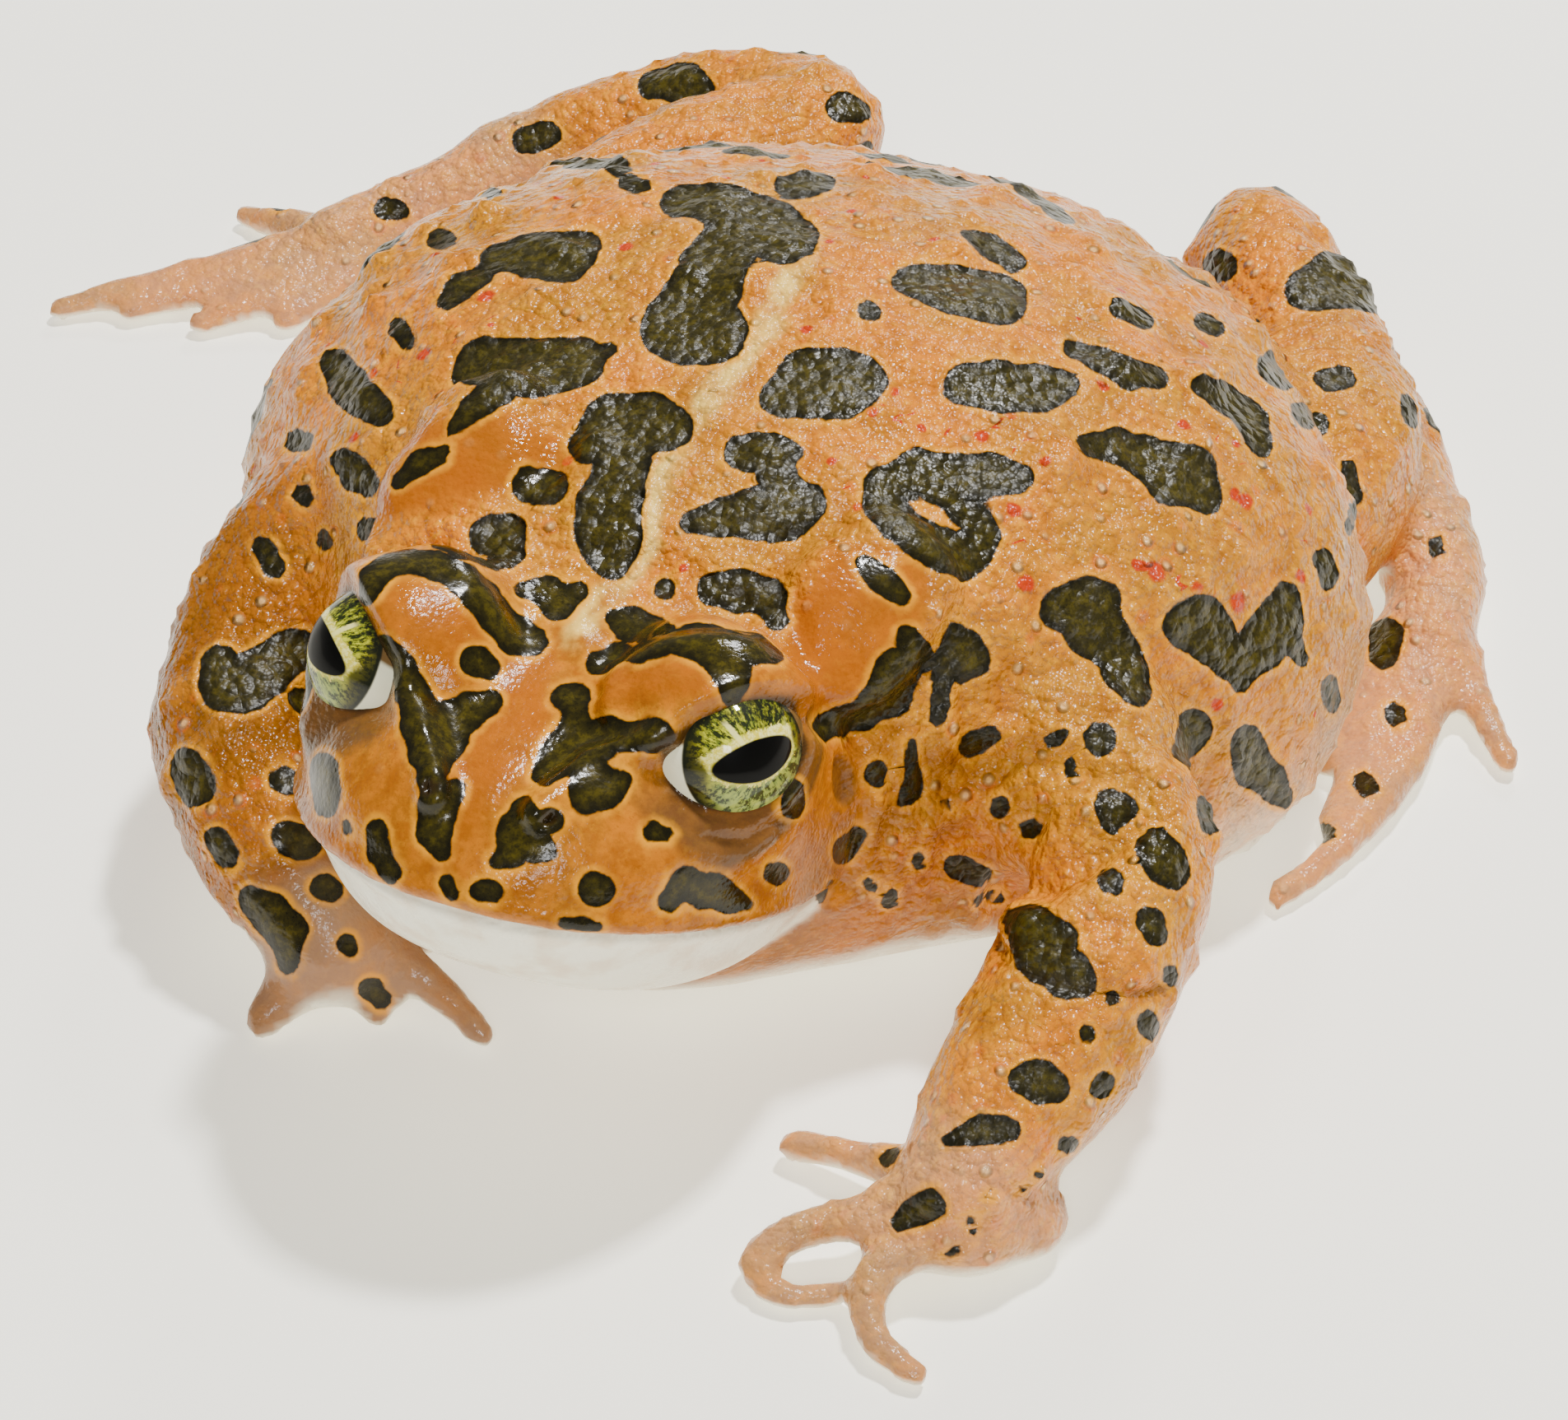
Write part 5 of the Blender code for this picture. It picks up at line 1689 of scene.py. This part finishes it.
@dataclass(frozen=True)
class Eyeball:
    """A toad's eye: the ball, a raised cornea, an iris and a level pupil."""

    name: str
    eye: EyeFrame
    cornea: float = 0.42
    pupil_centre: tuple[float, float] = (0.2, 0.95)
    pupil_half: tuple[float, float] = (2.0, 0.84)
    rings: int = 96
    segments: int = 160

    def build(self, material: bpy.types.Material) -> bpy.types.Object:
        """Makes the eyeball.

        Args:
            material: its finish.

        Returns:
            The finished piece.
        """
        out, forward, up = self.eye.axes()
        centre = self.eye.centre()
        turn = Matrix(np.stack([forward, up, out]).T.tolist()).to_4x4()
        bm = bmesh.new()
        bmesh.ops.create_uvsphere(bm, u_segments=self.segments, v_segments=self.rings,
                                  radius=HEAD.eye_radius * MM)
        bmesh.ops.transform(bm, matrix=Matrix.Translation(Vector(centre) * MM) @ turn, verts=bm.verts)
        bmesh.ops.recalc_face_normals(bm, faces=bm.faces)
        mesh = bpy.data.meshes.new(self.name)
        bm.to_mesh(mesh)
        bm.free()
        points = np.array([v.co[:] for v in mesh.vertices]) / MM
        _, across, rise = self.eye.arcs(points)
        dx, dy = across - self.pupil_centre[0], rise - self.pupil_centre[1]
        radius = np.hypot(dx, dy)
        bulge = self.cornea * smooth_step(3.5, 0.4, radius)
        points = centre + (points - centre) * (1.0 + bulge / HEAD.eye_radius)[:, None]
        mesh.vertices.foreach_set("co", (points * MM).astype(np.float32).ravel())
        half_x, half_y = self.pupil_half
        lens = np.abs(dx / half_x) ** 1.7 + np.abs(dy / half_y) ** 1.9
        pupil = (lens ** 0.55 - 1.0) * half_y
        values = {
            "pupil": pupil, "iris": radius, "rise": dy,
            "ray_x": dx / np.maximum(radius, TINY), "ray_y": dy / np.maximum(radius, TINY),
            "level": np.abs(dy) / np.maximum(np.abs(dx), TINY) + smooth_step(2.6, 1.4, np.abs(dx)),
        }
        store(mesh, values)
        finished(mesh, material)
        return placed(self.name, mesh)


@dataclass(frozen=True)
class Studio:
    """The pale floor and the soft lights."""

    floor_size: float = 12.0
    sky: Colour = (1.0, 0.97, 0.91, 1.0)
    sky_strength: float = 0.25
    # Name, place in metres, side in metres, power in watts
    lamps: tuple[tuple[str, Point, float, float], ...] = (
        ("key", (0.07, 0.13, 0.45), 0.045, 3.2),
        ("front", (0.12, -0.38, 0.33), 0.10, 1.1),
        ("back", (-0.04, 0.44, 0.30), 0.08, 0.8))

    def build(self) -> None:
        """Makes the floor, the lights and the pale surroundings."""
        bm = bmesh.new()
        bmesh.ops.create_grid(bm, x_segments=2, y_segments=2, size=self.floor_size / 2)
        mesh = bpy.data.meshes.new("floor")
        bm.to_mesh(mesh)
        bm.free()
        mesh.materials.append(FloorFinish().material())
        floor = placed("floor", mesh)
        for lamp in self.lamps:
            self.light(*lamp)
        world = bpy.data.worlds.new("studio")
        world.use_nodes = True
        backdrop = world.node_tree.nodes["Background"]
        backdrop.inputs["Color"].default_value = self.sky
        backdrop.inputs["Strength"].default_value = self.sky_strength
        bpy.context.scene.world = world

    @staticmethod
    def light(name: str, place: Point, size: float, power: float) -> None:
        """Adds one soft light aimed at the toad.

        Args:
            name: its name.
            place: where it hangs, in metres.
            size: its side in metres.
            power: its power in watts.
        """
        data = bpy.data.lights.new(name, "AREA")
        data.size = size
        data.energy = power
        lamp = placed(name, data)
        lamp.location = place
        aim = Vector((0.0, 0.0, 0.01)) - Vector(place)
        lamp.rotation_euler = aim.to_track_quat("-Z", "Y").to_euler()


def main() -> None:
    """Builds the camera, the studio, the skin and the eyes."""
    logging.basicConfig(level=logging.INFO, format="%(message)s")
    VIEW.build()
    Studio().build()
    skin_maker = ToadSkin()
    skin = skin_maker.build()
    finished(skin.data, SkinFinish().material())
    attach(skin, "root")
    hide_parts(*skin_maker.flesh)
    LOG.info("toad_skin: %d faces", len(skin.data.polygons))
    eye_finish = EyeFinish().material()
    for name, eye in EYES.items():
        ball = Eyeball("toad_eye_" + name, eye).build(eye_finish)
        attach(ball, "root")
        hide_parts("eye_" + name)
        LOG.info("%s: %d faces", ball.name, len(ball.data.polygons))


if __name__ == "__main__":
    main()
